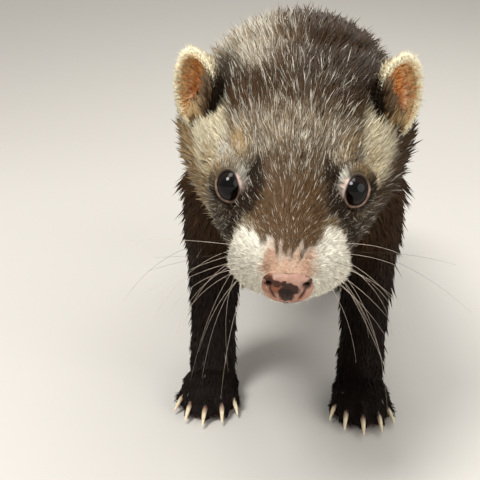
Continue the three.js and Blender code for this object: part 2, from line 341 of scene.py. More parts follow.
def fold(local: Array) -> Array:
    """Places in the head's frame with x counted outward from the middle plane on either side."""
    return np.column_stack([np.abs(local[:, 0]), local[:, 1:]])


# Where on the animal a point is


class Region(Enum):
    """The stretches of the body that a hair can grow from."""

    HEAD = 0
    TRUNK = 1
    TAIL = 2
    FORELEG_LEFT = 3
    FORELEG_RIGHT = 4
    HINDLEG_LEFT = 5
    HINDLEG_RIGHT = 6


@dataclass(frozen=True)
class Stretch:
    """A stretch of the body round an axis that runs with the lie of the coat.

    Each stop on the axis is side, forward, up and radius, in millimetres.
    """

    stops: Stops

    def samples(self, count: int = 48) -> tuple[Array, Array, Array]:
        """Points, directions and radii at even steps of the row of stops."""
        points = np.array([trunk_point(*stop[:3]) for stop in self.stops])
        radii = np.array([stop[3] for stop in self.stops])
        at = np.linspace(0.0, len(self.stops) - 1.0, count)
        order = np.arange(len(self.stops))
        path = np.stack([np.interp(at, order, points[:, k]) for k in range(3)], axis=1)
        return path, unit(np.gradient(path, axis=0)), np.interp(at, order, radii)

    def locate(self, world: Array) -> tuple[Array, Array, Array, Array]:
        """How each point lies to this stretch.

        Args:
            world: (n, 3) places in the row frame.

        Returns:
            The distance over the radius, the direction of the coat, the share of the way along,
            and the turn round the axis from 0 to 1.
        """
        path, ways, radii = self.samples()
        gap = ((world[:, None, :] - path[None]) ** 2).sum(axis=2)
        nearest = (gap / radii[None] ** 2).argmin(axis=1)
        ratio = np.sqrt(gap[np.arange(len(world)), nearest]) / radii[nearest]
        way = ways[nearest]
        off = world - path[nearest]
        across = unit(np.cross(way, [0.0, 0.6, 0.8]))
        over = np.cross(across, way)
        turn = np.arctan2((off * over).sum(1), (off * across).sum(1)) / (2.0 * math.pi) + 0.5
        return ratio, way, nearest / (len(path) - 1.0), turn


def fore_stops(side: float) -> Stops:
    """The axis of a foreleg, from inside the shoulder to the toes."""
    return (
        (side * 18, 54, 94, 14),
        (side * 23, 54, 74, 17),
        (side * 25.5, 51, 60, 14),
        (side * 26.5, 46, 47, 11),
        (side * 26.5, 48, 34, 8.5),
        (side * 26, 53, 22, 7.6),
        (side * 25.5, 57, 11, 8),
        (side * 25, 68, 6, 9),
        (side * 25, 92, 2, 11),
    )


def hind_stops(side: float) -> Stops:
    """The axis of a hind leg, from inside the hip to the toes."""
    return (
        (side * 17, -93, 98, 15),
        (side * 23.5, -92, 80, 20),
        (side * 27.5, -87, 63, 18),
        (side * 29.5, -82, 48, 14),
        (side * 30, -89, 36, 10),
        (side * 30.5, -101, 24, 8),
        (side * 30.4, -103, 11, 8),
        (side * 30, -90, 5, 9),
        (side * 30, -58, 2, 11),
    )


def body_plan() -> list[Stretch]:
    """All the stretches, in the order of their regions."""
    head = ((0, 158, 69, 9), (0, 142, 72, 14), (0, 130, 78, 19), (0, 112, 86, 26), (0, 94, 94, 30))
    trunk = (
        (0, 88, 97, 29), (0, 66, 98, 31), (0, 48, 92, 32), (0, 20, 86, 33),
        (0, -20, 86, 33), (0, -60, 88, 33), (0, -100, 84, 32), (0, -130, 80, 24),
    )
    tail = (
        (0, -132, 86, 12), (0, -158, 80, 12), (0, -186, 68, 11),
        (0, -212, 56, 10), (0, -232, 48, 7), (0, -252, 41, 4),
    )
    legs = [stops(side) for stops in (fore_stops, hind_stops) for _, side in SIDES]
    return [Stretch(stops) for stops in (head, trunk, tail, *legs)]


# Markings of the coat


def tint(hex_colour: str) -> Array:
    """A field that holds a linear colour, given as sRGB hex."""
    return field(default_factory=lambda: linear(hex_colour))


@dataclass(frozen=True)
class Palette:
    """Colours of a sable ferret, as sRGB hex."""

    white: Array = tint("#d9d3c3")
    bridge: Array = tint("#b2917a")
    cream: Array = tint("#cabea0")
    tan: Array = tint("#a18760")
    cheek: Array = tint("#857050")
    mask: Array = tint("#2b2016")
    umber: Array = tint("#59432d")
    brown: Array = tint("#594632")
    ash: Array = tint("#8a7d67")
    grizzle: Array = tint("#5a4c39")
    silver: Array = tint("#d0cbbc")
    black: Array = tint("#1d1511")
    collar: Array = tint("#342516")
    golden: Array = tint("#cba96b")
    guard: Array = tint("#382716")
    belly: Array = tint("#a5814f")
    chestnut: Array = tint("#5a3b26")
    pad: Array = tint("#8d5f55")
    bald: Array = tint("#c9b0a4")


PALETTE = Palette()


@dataclass
class Marks:
    """Colour of the coat at some points: of its underfur, of its tips, and how much silver is in it."""

    under: Array
    tip: Array
    silver: Array | float

    def lay(self, share: Array, under: Array, tip: Array, silver: Array | float) -> None:
        """Lays another marking over these, by its share of each point."""
        self.under = mix(self.under, under, share)
        self.tip = mix(self.tip, tip, share)
        self.silver = self.silver + (silver - self.silver) * share


def spot(local: Array, centre: tuple[float, ...], radii: tuple[float, ...], soft: float) -> Array:
    """1 inside an ellipsoid that lies on each side of the head, fading to 0 about its surface.

    Args:
        local: (n, 3) places in the head's frame, with x counted from the middle plane outward.
        centre: the ellipsoid's middle.
        radii: its radii along the three axes.
        soft: half the width of the fade, as a share of the radii.
    """
    reach = np.linalg.norm((local - np.array(centre)) / np.array(radii), axis=1)
    return fall(1.0 - soft, 1.0 + soft, reach)


def crown_marks(world: Array) -> Marks:
    """The grizzle of the crown and nape: silvery on the animal's right, dark brown on its left, which is
    partly real colour and partly painted shade of the side away from the key lamp.
    """
    p = PALETTE
    across = world[:, 0] + 8.0 * (lattice_noise(world, 4.0, 14) - 0.5)
    left, right, edge = ramp(-9.0, 7.0, across), fall(-13.0, -3.0, across), ramp(15.0, 22.0, across)
    # The animal's left is darker and less silvery: partly its real colour, partly painted shade of the side
    # away from the key lamp.
    under = mix(mix(p.grizzle, p.collar, left), p.ash, np.maximum(0.75 * right, 0.6 * edge))
    tip = mix(mix(p.brown, p.guard, left), p.ash, 0.8 * right)
    return Marks(under, tip, 0.40 - 0.37 * left + 0.3 * right + 0.2 * edge)


def face_marks(world: Array) -> Marks:
    """The markings of the head, from places in the row frame.

    A white muzzle ends on a ragged line that runs further back at the sides. A brown bridge and a
    dark mask lie between and round the eyes, with an ashy forehead above. A cream patch runs from
    each eye up to the ear, whose foot is dark, and the crown is grizzled, palest on its right. On
    the animal's left, away from the key lamp, the cheek and crown are painted darker as shade,
    the crown partly as its real colour too.

    Args:
        world: (n, 3) places on the head.

    Returns:
        The markings there.
    """
    p = PALETTE
    local = HEAD.to_local(world)
    wobble = 1.8 * (lattice_noise(world, 5.0, 11) - 0.5) + 1.4 * (lattice_noise(world, 1.6, 12) - 0.5)
    streak = lattice_noise(local * np.array([1.0, 0.16, 0.4]), 0.9, 13) - 0.5
    side, back, up = np.abs(local[:, 0]) + wobble, local[:, 1] + 1.6 * wobble, local[:, 2] + wobble
    folded = np.stack([side, back, up], axis=1)
    left = ramp(-7.0, 9.0, local[:, 0] + 2.0 * wobble)
    marks = crown_marks(world)
    lay = marks.lay

    # The back of the head, the cheeks, the forehead and the dark feet of the ears
    lay(band(40.0, 60.0, 4.0, back), 0.85 * p.brown, p.guard, 0.18)
    lay(ramp(58.0, 70.0, back) * fall(2.0, 16.0, up), p.brown, p.collar, 0.08)
    cheek = ramp(34.0, 44.0, back) * fall(4.0, 11.0, up)
    # Tan cheeks on the animal's right; the brown on its left is painted shade of the side away from the key
    # lamp.
    lay(cheek * (1.0 - left), p.cheek, p.tan, 0.14)
    lay(cheek * left, p.brown, p.guard, 0.1)
    lay(band(27.0, 42.0, 4.0, back) * fall(13.0, 17.0, side) * ramp(2.0, 8.0, up), p.ash, p.brown, 0.4)
    lay(spot(folded, (19.5, 62.0, 15.0), (7.5, 12.0, 7.5), 0.3), p.mask, p.mask, 0.01)
    # A dark patch on the left of the crown: partly real colour, partly painted shade of the side away from
    # the key lamp.
    lay(0.85 * left * spot(folded, (15.5, 59.0, 17.5), (6.5, 9.5, 5.0), 0.5), p.mask, p.guard, 0.03)

    # The pale brows and the cream patches
    brow = 0.8 * spot(folded, (12.8, 36.0, 13.0), (2.4, 4.6, 3.0), 0.6)
    lay(brow * (1.0 - 0.6 * left), p.tan, p.tan, 0.3)
    outer = left * ramp(22.0, 24.0, side)
    lay(spot(folded, (19.4, 46.0, 9.5), (5.2, 9.5, 8.0), 0.3) * (1.0 - outer), p.cream, p.cream, 0.15)
    lay(spot(folded, (18.6, 38.5, 6.0), (3.4, 4.5, 4.5), 0.4), p.cream, p.tan, 0.2)
    lay(spot(folded, (16.2, 35.5, 9.2), (2.2, 4.5, 2.6), 0.5) * (1.0 - 0.8 * left), p.ash, p.silver, 0.5)

    # The mask round the eyes and the bridge between them
    lay(fall(25.5, 29.0, back - 0.3 * np.maximum(side - 14.0, 0.0)), p.mask, p.mask, 0.1)
    lay(0.85 * spot(folded, (17.4, 31.0, 8.2), (3.4, 4.6, 3.4), 0.5), p.cheek, p.tan, 0.2)
    lay(spot(folded, (19.5, 30.0, -5.0), (6.0, 7.0, 8.0), 0.4), p.grizzle, p.mask, 0.16)
    lay(0.8 * spot(folded, (12.2, 27.0, 1.2), (3.2, 3.8, 2.6), 0.6), p.chestnut, p.umber, 0.05)
    top = ramp(-4.0, 0.0, up)
    lay(fall(27.0, 33.0, back) * fall(4.0, 8.0, side) * top, p.grizzle, p.umber, 0.28)
    lay(fall(20.0, 25.0, back) * fall(4.0, 8.0, side) * top, p.umber, p.umber, 0.12)
    lay(fall(15.0, 21.0, back) * fall(7.0, 10.0, side) * top, p.umber, p.umber, 0.08)
    lay(spot(folded, (8.8, 25.0, 10.0), (2.6, 5.6, 4.2), 0.4) * (1.0 - 0.5 * left), p.mask, p.mask, 0.06)

    # The white muzzle with its ragged edge, the bare pink bridge and the dark throat
    reach = np.clip(side, 0.0, 14.0)
    most = 15.0 + 6.0 * fall(-6.0, -2.0, up)
    edge = np.minimum(3.0 + 0.3 * reach + 0.071 * reach**2, most) - 1.5 * ramp(-6.0, -12.0, up)
    edge = edge + 4.2 * streak
    fading = fall(1.5, 5.5, back - edge) * ramp(5.0, 9.0, side) * fall(11.0, 14.0, side)
    lay(0.5 * fading, p.ash, p.tan, 0.5)
    white = fall(-1.2, 1.2, back - edge)
    lay(white, p.white, p.white, 0.0)
    pink = fall(4.6, 7.6, back) * fall(4.2, 7.0, side) * ramp(-3.0, -1.0, up)
    lay(white * pink, p.bridge, p.bridge, 0.0)
    lay(ramp(18.0, 26.0, back) * fall(-19.0, -13.0, up), p.collar, p.mask, 0.05)
    return marks


def trunk_marks(world: Array) -> Marks:
    """Golden underfur below dark guard hairs along the back, a dark collar and a paler flank."""
    p = PALETTE
    forward, up = ahead(world), world[:, 2]
    collar = ramp(18.0, 66.0, forward + 26.0 * (lattice_noise(world, 14.0, 21) - 0.5))
    top = ramp(94.0, 108.0, up)
    nape = crown_marks(world)
    marks = Marks(mix(p.golden, p.grizzle, collar), p.guard, 0.01)
    marks.lay(collar * top, nape.under, nape.tip, nape.silver)
    marks.lay(collar * (1.0 - top), p.brown, p.collar, marks.silver)
    shoulder = band(16.0, 40.0, 7.0, forward) * band(62.0, 96.0, 8.0, up)
    low, rump = fall(54.0, 66.0, up), fall(-118.0, -84.0, forward)
    under = mix(mix(marks.under, p.cream, 0.7 * shoulder), p.belly, low)
    tip = mix(mix(marks.tip, p.tan, 0.5 * shoulder), p.brown, 0.6 * low)
    return Marks(mix(under, p.chestnut, 0.8 * rump), tip, marks.silver)


def leg_marks(world: Array) -> Marks:
    """Dark brown legs that darken towards the feet."""
    high = ramp(30.0, 84.0, world[:, 2])
    under = mix(PALETTE.black, PALETTE.chestnut, 0.8 * high)
    return Marks(under, mix(PALETTE.black, PALETTE.guard, high), 0.004)


def tail_marks(world: Array) -> Marks:
    """A chestnut tail with a nearly black fringe and tip."""
    end = fall(-236.0, -150.0, ahead(world))
    under = mix(PALETTE.chestnut, PALETTE.collar, end)
    return Marks(under, mix(PALETTE.guard, PALETTE.black, end), 0.008)


def part_shares(shares: Array) -> list[Array]:
    """Each point's share in the head, in the trunk, in the tail and in all the legs."""
    return [shares[:, 0], shares[:, 1], shares[:, 2], shares[:, 3:].sum(axis=1)]


def coat_marks(world: Array, shares: Array) -> Marks:
    """The markings at any points of the animal, blended by each region's share of them.

    Args:
        world: (n, 3) places in the row frame.
        shares: (n, regions) weights that add up to 1.
    """
    kinds = [face_marks(world), trunk_marks(world), tail_marks(world), leg_marks(world)]
    parts = list(zip(kinds, part_shares(shares)))
    under = sum(part.under * weight[:, None] for part, weight in parts)
    tip = sum(part.tip * weight[:, None] for part, weight in parts)
    silver = sum(part.silver * weight for part, weight in parts)
    return Marks(under, tip, silver)


# Finishes


@dataclass(frozen=True)
class Finish:
    """What the finishes share: the markings' colour, lightened and darkened by fine noise."""

    name: str
    roughness: float
    specular: float
    cell: float  # millimetres across which the tone drifts
    detail: float  # how many finer noises are added to that drift
    tones: tuple[float, float]  # least and most that it multiplies the colour by

    def extras(self) -> dict[str, float | tuple[float, ...]]:
        """The shader's further inputs, by name, that are the same all over the surface."""
        return {}

    def relief(
        self, tree: bpy.types.NodeTree, place: bpy.types.NodeSocket, noise: bpy.types.NodeSocket
    ) -> bpy.types.Node | None:
        """Adds the nodes that give the surface its relief.

        Args:
            tree: the material's node tree.
            place: the piece's own coordinates.
            noise: the noise that the tone drifts with.

        Returns:
            The bump node, or None where the finish has no relief.
        """
        return None

    def material(self) -> bpy.types.Material:
        """Sets up the shader, and links the markings times the tone, and the relief, to it."""
        material = bpy.data.materials.new(self.name)
        material.use_nodes = True
        tree = material.node_tree
        shader = tree.nodes["Principled BSDF"]
        constants = {"Roughness": self.roughness, "Specular IOR Level": self.specular, **self.extras()}
        for name, value in constants.items():
            shader.inputs[name].default_value = value
        place = add_node(tree, "ShaderNodeTexCoord", {}, {}).outputs["Object"]
        marking = add_node(tree, "ShaderNodeAttribute", {"attribute_name": "marking"}, {})
        grain = {"Scale": 1.0 / (self.cell * MM), "Detail": self.detail}
        noise = add_node(tree, "ShaderNodeTexNoise", grain, {"Vector": place}).outputs["Fac"]
        limits = {"From Min": 0.3, "From Max": 0.7, "To Min": self.tones[0], "To Max": self.tones[1]}
        tone = add_node(tree, "ShaderNodeMapRange", limits, {"Value": noise})
        factors = {"Vector": marking.outputs["Color"], "Scale": tone.outputs["Result"]}
        scaled = add_node(tree, "ShaderNodeVectorMath", {"operation": "SCALE"}, factors)
        tree.links.new(scaled.outputs["Vector"], shader.inputs["Base Color"])
        bump = self.relief(tree, place, noise)
        if bump:
            tree.links.new(bump.outputs["Normal"], shader.inputs["Normal"])
        return material


@dataclass(frozen=True)
class FurFinish(Finish):
    """Keratin hair, grown: a satin gloss along each hair and small shifts of tone between hairs."""

    name: str = "fur"
    roughness: float = 0.5
    specular: float = 0.08
    cell: float = 1.1
    detail: float = 2.0
    tones: tuple[float, float] = (0.82, 1.18)


@dataclass(frozen=True)
class HideFinish(Finish):
    """Skin under short fur: matt, in the coat's own markings, with a fine nap as bump."""

    name: str = "hide"
    roughness: float = 0.8
    specular: float = 0.25
    cell: float = 0.5
    detail: float = 3.0
    tones: tuple[float, float] = (0.86, 1.1)

    def relief(
        self, tree: bpy.types.NodeTree, place: bpy.types.NodeSocket, noise: bpy.types.NodeSocket
    ) -> bpy.types.Node:
        """The nap, raised by the same noise that breaks up the colour."""
        return add_node(tree, "ShaderNodeBump", {"Strength": 0.6, "Distance": 0.3 * MM}, {"Height": noise})


@dataclass(frozen=True)
class LeatherFinish(Finish):
    """Bare moist skin, as on a nose or a lid: soft translucence and a fine pebbled grain."""

    roughness: float = 0.35
    specular: float = 0.16
    cell: float = 1.3
    detail: float = 4.0
    tones: tuple[float, float] = (0.85, 1.12)
    grain: float = 0.45  # millimetres across one pebble
    depth: float = 0.08
    translucence: float = 0.08
    coat: float = 0.08

    def extras(self) -> dict[str, float | tuple[float, ...]]:
        """Light that spreads a little under the surface, redder than it came, and a thin wet layer."""
        return {
            "Subsurface Weight": self.translucence,
            "Subsurface Radius": (1.0, 0.55, 0.4),
            "Subsurface Scale": 1.2 * MM,
            "Coat Weight": self.coat,
            "Coat Roughness": 0.22,
        }

    def relief(
        self, tree: bpy.types.NodeTree, place: bpy.types.NodeSocket, noise: bpy.types.NodeSocket
    ) -> bpy.types.Node:
        """Pebbles, from the distance to the middle of the nearest cell."""
        cells = add_node(tree, "ShaderNodeTexVoronoi", {"Scale": 1.0 / (self.grain * MM)}, {"Vector": place})
        settings = {"Strength": 0.7, "Distance": self.depth * MM, "invert": True}
        return add_node(tree, "ShaderNodeBump", settings, {"Height": cells.outputs["Distance"]})


@dataclass(frozen=True)
class EyeFinish(Finish):
    """A wet cornea over a nearly black iris: mirror-like, so that the lights show in it."""

    name: str = "wet eye"
    roughness: float = 0.6
    specular: float = 0.0
    cell: float = 0.25
    detail: float = 3.0
    tones: tuple[float, float] = (0.7, 1.3)

    def extras(self) -> dict[str, float | tuple[float, ...]]:
        """The clear smooth layer of the cornea."""
        return {"Coat Weight": 0.65, "Coat IOR": 1.38, "Coat Roughness": 0.02}


# The skin


def no_rows(columns: int, kind: type = float) -> Array:
    """A field that holds an array of the given columns, still without rows."""
    return field(default_factory=lambda: np.zeros((0, columns), kind))


@dataclass
class Skin:
    """One closed skin under the whole coat, worked out from the solids of flesh."""

    voxel: float = 1.3
    swell: float = 0.22  # closes the thin cuts between the solids
    fine_to: float = 38.0  # how far back from the nose tip the mesh is finer
    lid: float = 0.25  # least thickness over an eyeball
    ground: float = 0.02  # height of the lowest skin over the floor
    points: Array = no_rows(3)
    normals: Array = no_rows(3)
    triangles: Array = no_rows(3, int)
    edges: Array = no_rows(2, int)
    shares: Array = no_rows(7)
    flow: Array = no_rows(3)

    def flesh_nodes(self) -> list[str]:
        """The solids that the skin stands for."""
        legs = [f"{part}_{side}" for side, _ in SIDES
                for part in ("upper_arm", "forearm", "forepaw", "thigh", "shank", "hindpaw")]
        return ["head", "lower_jaw", "neck", "chest", "loin", "tail_base", "tail_tip", *legs]

    def wrap(self, frame: dict) -> bpy.types.Object:
        """Joins the solids, swelled a little, into one even mesh by voxels.

        The nose's solid is joined in too, so that the bridge runs on over the leather's top.

        Args:
            frame: the solids, as the frame's loader gives them.

        Returns:
            The skin's object, with its mesh still at the coat's tips.
        """
        whole = bmesh.new()
        for name in [*self.flesh_nodes(), "nose"]:
            part = bmesh.new()
            part.from_mesh(frame["nodes"][name].data)
            bmesh.ops.remove_doubles(part, verts=part.verts, dist=0.002 * MM)
            part.normal_update()
            for vertex in part.verts:
                vertex.co += vertex.normal * self.swell * MM
            shell = bpy.data.meshes.new("shell")
            part.to_mesh(shell)
            part.free()
            whole.from_mesh(shell)
            bpy.data.meshes.remove(shell)
        mesh = bpy.data.meshes.new("skin")
        whole.to_mesh(mesh)
        whole.free()
        raw = bpy.data.objects.new("raw_skin", mesh)
        bpy.context.scene.collection.objects.link(raw)
        remesh = raw.modifiers.new("even", "REMESH")
        remesh.mode = "VOXEL"
        remesh.voxel_size = self.voxel * MM
        graph = bpy.context.evaluated_depsgraph_get()
        even = bpy.data.meshes.new_from_object(raw.evaluated_get(graph))
        bpy.data.objects.remove(raw)
        even.name = "skin"
        self.refine_face(even)
        skin = bpy.data.objects.new("skin", even)
        bpy.context.scene.collection.objects.link(skin)
        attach(skin, BODY)
        self.read(even)
        return skin

    def refine_face(self, mesh: bpy.types.Mesh) -> None:
        """Halves the mesh in front of the ears, where the skin has its finest forms."""
        work = bmesh.new()
        work.from_mesh(mesh)
        places = np.array([vertex.co[:] for vertex in work.verts]) / MM
        face = HEAD.to_local(places)[:, 1] < self.fine_to
        chosen = [edge for edge in work.edges if all(face[v.index] for v in edge.verts)]
        bmesh.ops.subdivide_edges(work, edges=chosen, cuts=1, use_grid_fill=True)
        bmesh.ops.triangulate(work, faces=[f for f in work.faces if len(f.verts) > 4])
        work.to_mesh(mesh)
        work.free()

    def read(self, mesh: bpy.types.Mesh) -> None:
        """Takes the mesh's vertices, triangles and edges into arrays."""
        mesh.calc_loop_triangles()
        flat = np.zeros(len(mesh.vertices) * 3, np.float32)
        mesh.vertices.foreach_get("co", flat)
        self.points = flat.reshape(-1, 3).astype(float) / MM
        corners = np.zeros(len(mesh.loop_triangles) * 3, np.int32)
        mesh.loop_triangles.foreach_get("vertices", corners)
        self.triangles = corners.reshape(-1, 3)
        ends = np.zeros(len(mesh.edges) * 2, np.int32)
        mesh.edges.foreach_get("vertices", ends)
        self.edges = ends.reshape(-1, 2)

    def average(self, values: Array) -> Array:
        """Each vertex's mean over its neighbours along the edges."""
        a, b = self.edges.T
        size = len(self.points)
        count = np.bincount(np.concatenate([a, b]), minlength=size)
        columns = values.reshape(len(values), -1).T
        sums = [np.bincount(a, column[b], size) + np.bincount(b, column[a], size) for column in columns]
        return (np.stack(sums, axis=1) / np.maximum(count, 1)[:, None]).reshape(values.shape)

    def even_out(self, values: Array, rounds: int) -> Array:
        """Blends values half and half with their neighbours' means, again and again."""
        for _ in range(rounds):
            values = 0.5 * values + 0.5 * self.average(values)
        return values

    def find_normals(self) -> None:
        """Vertex normals as the sum of the face normals round each vertex."""
        a, b, c = (self.points[self.triangles[:, k]] for k in range(3))
        face = np.cross(b - a, c - a)
        total = np.stack(
            [sum(np.bincount(self.triangles[:, k], face[:, axis], len(self.points)) for k in range(3))
             for axis in range(3)],
            axis=1,
        )
        self.normals = unit(total)

    def pull(self, share: Array) -> None:
        """Moves each vertex by its share of the way to its neighbours' mean."""
        self.points = self.points + share[:, None] * (self.average(self.points) - self.points)

    def relax(self, rounds: int, weight: Array) -> None:
        """Moves each vertex towards its neighbours' mean and then a little back, so bulk is kept."""
        for _ in range(rounds):
            for push in (0.55, -0.52):
                self.pull(push * weight)

    def locate(self, plan: list[Stretch]) -> None:
        """Finds each vertex's share in the regions and the lie of its coat."""
        found = [stretch.locate(self.points) for stretch in plan]
        ratio = np.stack([item[0] for item in found], axis=1)
        closeness = np.exp(-14.0 * (ratio - ratio.min(axis=1, keepdims=True)))
        shares = self.even_out(closeness / closeness.sum(axis=1, keepdims=True), 6)
        self.shares = shares / shares.sum(axis=1, keepdims=True)
        ways = np.stack([item[1] for item in found], axis=1)
        self.flow = (ways * self.shares[:, :, None]).sum(axis=1)

    def comb(self) -> None:
        """The lie of the coat: back and down the flanks, away from the eyes and the mid-face."""
        local = HEAD.to_local(self.points)
        axes = HEAD.axes()
        across, back, up = local.T
        flank = np.abs(self.normals[:, 0]) * self.shares[:, Region.TRUNK.value]
        flow = self.flow + np.array([0.0, 0.0, -0.35]) * flank[:, None]
        head = self.shares[:, Region.HEAD.value]
        fan = 0.30 * np.tanh(across / 8.0) * ramp(-2.0, 10.0, up)
        droop = -0.28 * fall(-6.0, 6.0, up) - 0.35 * band(4.0, 18.0, 4.0, back)
        droop = droop * (1.0 - 0.9 * fall(-9.0, -6.0, up) * fall(8.0, 16.0, back))
        flow = flow + (head * fan)[:, None] * axes[0] + (head * droop)[:, None] * axes[2]
        for _, side in SIDES:
            near = np.exp(-((distance(local, HEAD.eye(side)) / 8.5) ** 4))
            outward = unit(local - HEAD.eye(side)) @ axes
            flow = flow + 2.2 * (near * head)[:, None] * outward
            ear_foot = bell(distance(local, np.array([side * 21.0, 52.0, 13.0])), 8.0)
            upward = np.array([side * 0.45, -0.25, 1.0]) @ axes
            flow = flow + 1.6 * (ear_foot * head)[:, None] * upward
        self.flow = unit(flatten(flow, self.normals))

    def coat_depth(self) -> Array:
        """How far the skin lies inside the solids: by region, with less over the face and feet."""
        local = HEAD.to_local(self.points)
        out, back, up = fold(local).T
        height = self.points[:, 2]
        head = np.interp(
            back, [1.0, 5.0, 10.0, 20.0, 34.0, 48.0, 62.0, 76.0], [0.4, 0.5, 0.9, 1.2, 2.0, 2.9, 3.4, 3.4]
        )
        trunk = np.interp(height, [48.0, 62.0, 90.0], [3.8, 4.7, 5.0])
        forward = ahead(self.points)
        tail = np.interp(
            forward, [-256.0, -246.0, -232.0, -205.0, -150.0, -120.0], [0.5, 1.7, 3.7, 5.2, 5.6, 5.2]
        )
        leg = np.interp(height, [0.0, 8.0, 20.0, 45.0, 70.0, 95.0], [0.3, 0.7, 1.5, 2.4, 3.7, 4.9])
        parts = zip([head, trunk, tail, leg], part_shares(self.shares))
        depth = sum(value * weight for value, weight in parts)
        depth = depth + 1.3 * ramp(1.5, 5.0, out) * fall(6.0, 14.0, back) * fall(-10.5, -8.0, up)
        corner = band(4.5, 12.0, 2.5, out) * band(-12.5, -7.0, 2.0, up)
        depth = depth + 1.5 * corner * fall(8.0, 15.0, back) + 1.3 * fluff(self.points)
        for _, side in SIDES:
            away = ramp(4.0, 9.5, distance(local, HEAD.eye(side)))
            depth = depth * away + self.lid * (1.0 - away)
        return self.even_out(depth, 12)

    def drape_lids(self, eyes: list[Eye]) -> None:
        """Draws the skin round each eyeball tight, as a film stretched over it.

        Vertices near the eye go to their neighbours' mean again and again, and none is let
        nearer to the eyeball's middle than a lid's thickness over its radius.
        """
        for eye in eyes:
            centre = eye.centre()
            least = eye.radius + self.lid
            for _ in range(40):
                self.pull(0.8 * fall(7.0, 9.5, distance(self.points, centre)))
                away = self.points - centre
                gap = np.linalg.norm(away, axis=1)
                self.points = centre + away * (np.maximum(gap, least) / gap)[:, None]

    def shape_mouth(self) -> None:
        """Presses in the line of the lips, the groove under the nose and the leather's bed.

        The line of the lips runs back at a steady height and dips under the whisker pads; the
        press is a narrow bell curve across it. The bed is an oval pressed straight back.
        """
        side, back, up = HEAD.to_local(self.points).T
        line = -9.7 - 1.1 * np.sin(np.clip((back - 2.0) / 20.0, 0.0, 1.0) * math.pi)
        press = 0.9 * bell(up - line, 0.75) * band(1.0, 23.0, 1.5, back)
        swell = 0.5 * bell(up - line - 2.4, 1.8) * band(2.0, 15.0, 3.0, back) * ramp(1.5, 5.0, np.abs(side))
        groove = 0.8 * bell(side, 0.8) * fall(3.0, 5.0, back) * fall(-5.5, -4.0, up)
        self.points = self.points + (swell - press - groove)[:, None] * self.normals
        bed = fall(0.88, 1.05, np.hypot(side / 5.4, (up + 4.1) / 3.7)) * fall(3.0, 5.0, back)
        self.points = self.points + 3.0 * bed[:, None] * HEAD.axes()[1]

    def build(self, frame: dict, eyes: list[Eye]) -> bpy.types.Object:
        """Makes the skin: wrapped, smoothed, sunk by the coat's depth and given its folds.

        Args:
            frame: the solids, as the frame's loader gives them.
            eyes: the eyeballs that it is drawn over.

        Returns:
            The skin's object.
        """
        skin = self.wrap(frame)
        toes = fall(10.0, 20.0, self.points[:, 2])
        face = fall(30.0, 48.0, HEAD.to_local(self.points)[:, 1])
        self.relax(6, np.ones(len(self.points)))
        self.relax(26, np.clip(1.0 - toes - face, 0.0, 1.0))
        self.locate(body_plan())
        self.find_normals()
        self.points = self.points - self.coat_depth()[:, None] * self.normals
        self.relax(4, np.clip(1.0 - toes, 0.3, 1.0) * (1.0 - 0.7 * face))
        self.drape_lids(eyes)
        self.find_normals()
        self.shape_mouth()
        self.find_normals()
        self.points[:, 2] = np.maximum(self.points[:, 2], self.ground)
        self.comb()
        skin.data.vertices.foreach_set("co", (self.points * MM).astype(np.float32).ravel())
        skin.data.polygons.foreach_set("use_smooth", np.full(len(skin.data.polygons), True))
        skin.data.update()
        return skin

    def colours(self) -> Array:
        """The skin's colour: the underfur's, darkened as painted shade under the coat and less where the
        coat is short, with bare eye corners and pads under the feet.
        """
        marks = coat_marks(self.points, self.shares)
        local = HEAD.to_local(self.points)
        short = fall(8.0, 24.0, local[:, 1])
        # Darker than the underfur as painted shade under the coat, less on the muzzle where the coat is
        # short.
        colour = (0.55 + 0.25 * short)[:, None] * marks.under + 0.2 * marks.tip
        sole = ramp(0.55, 0.85, -self.normals[:, 2]) * fall(2.0, 5.0, self.points[:, 2])
        return mix(mix(colour, PALETTE.bald, eye_corner(local)), PALETTE.pad, sole)


# The coat


@dataclass(frozen=True)
class Lock:
    """How one kind of hair grows, in millimetres and degrees."""

    length: float
    width: float
    rise: float  # lift off the skin at the root
    lie: float  # lift of the tip half
    per_mm2: float
    clump: float = 0.25  # how far neighbours lean together, as a share of the length
    cell: float = 3.0  # size of a clump
    guard: bool = False


@dataclass(frozen=True)
class Hairs:
    """Hairs of one kind as arrays, with a row to each vertex in all but the triangles."""

    points: Array
    faces: Array
    colours: Array
    unwrap: Array
    ground: Array | None = None  # the skin's normals under them, where they shade as one with it


def hair_piece(name: str, parts: list[Hairs]) -> bpy.types.Object:
    """Joins kinds of hair into one piece with its colours and its OFBake map.

    Where the hairs have the skin's normals, each vertex normal is turned most of the way to them,
    so that the coat shades as one soft form.

    Args:
        name: the piece's name.
        parts: the kinds of hair in it.

    Returns:
        The piece.
    """
    starts = np.cumsum([0] + [len(part.points) for part in parts])
    faces = np.concatenate([part.faces + start for part, start in zip(parts, starts)])
    piece = new_piece(name, np.concatenate([part.points for part in parts]), faces)
    paint(piece, np.concatenate([part.colours for part in parts]))
    unwrap = np.concatenate([part.unwrap for part in parts])[faces.ravel()]
    piece.data.uv_layers.new(name="OFBake").data.foreach_set("uv", unwrap.astype(np.float32).ravel())
    grounds = [part.ground for part in parts if part.ground is not None]
    if grounds:
        own = np.zeros(len(piece.data.vertices) * 3, np.float32)
        piece.data.vertex_normals.foreach_get("vector", own)
        normals = unit((1.0 - SETTLED) * own.reshape(-1, 3) + SETTLED * np.concatenate(grounds))
        piece.data.normals_split_custom_set_from_vertices(normals)
    return piece


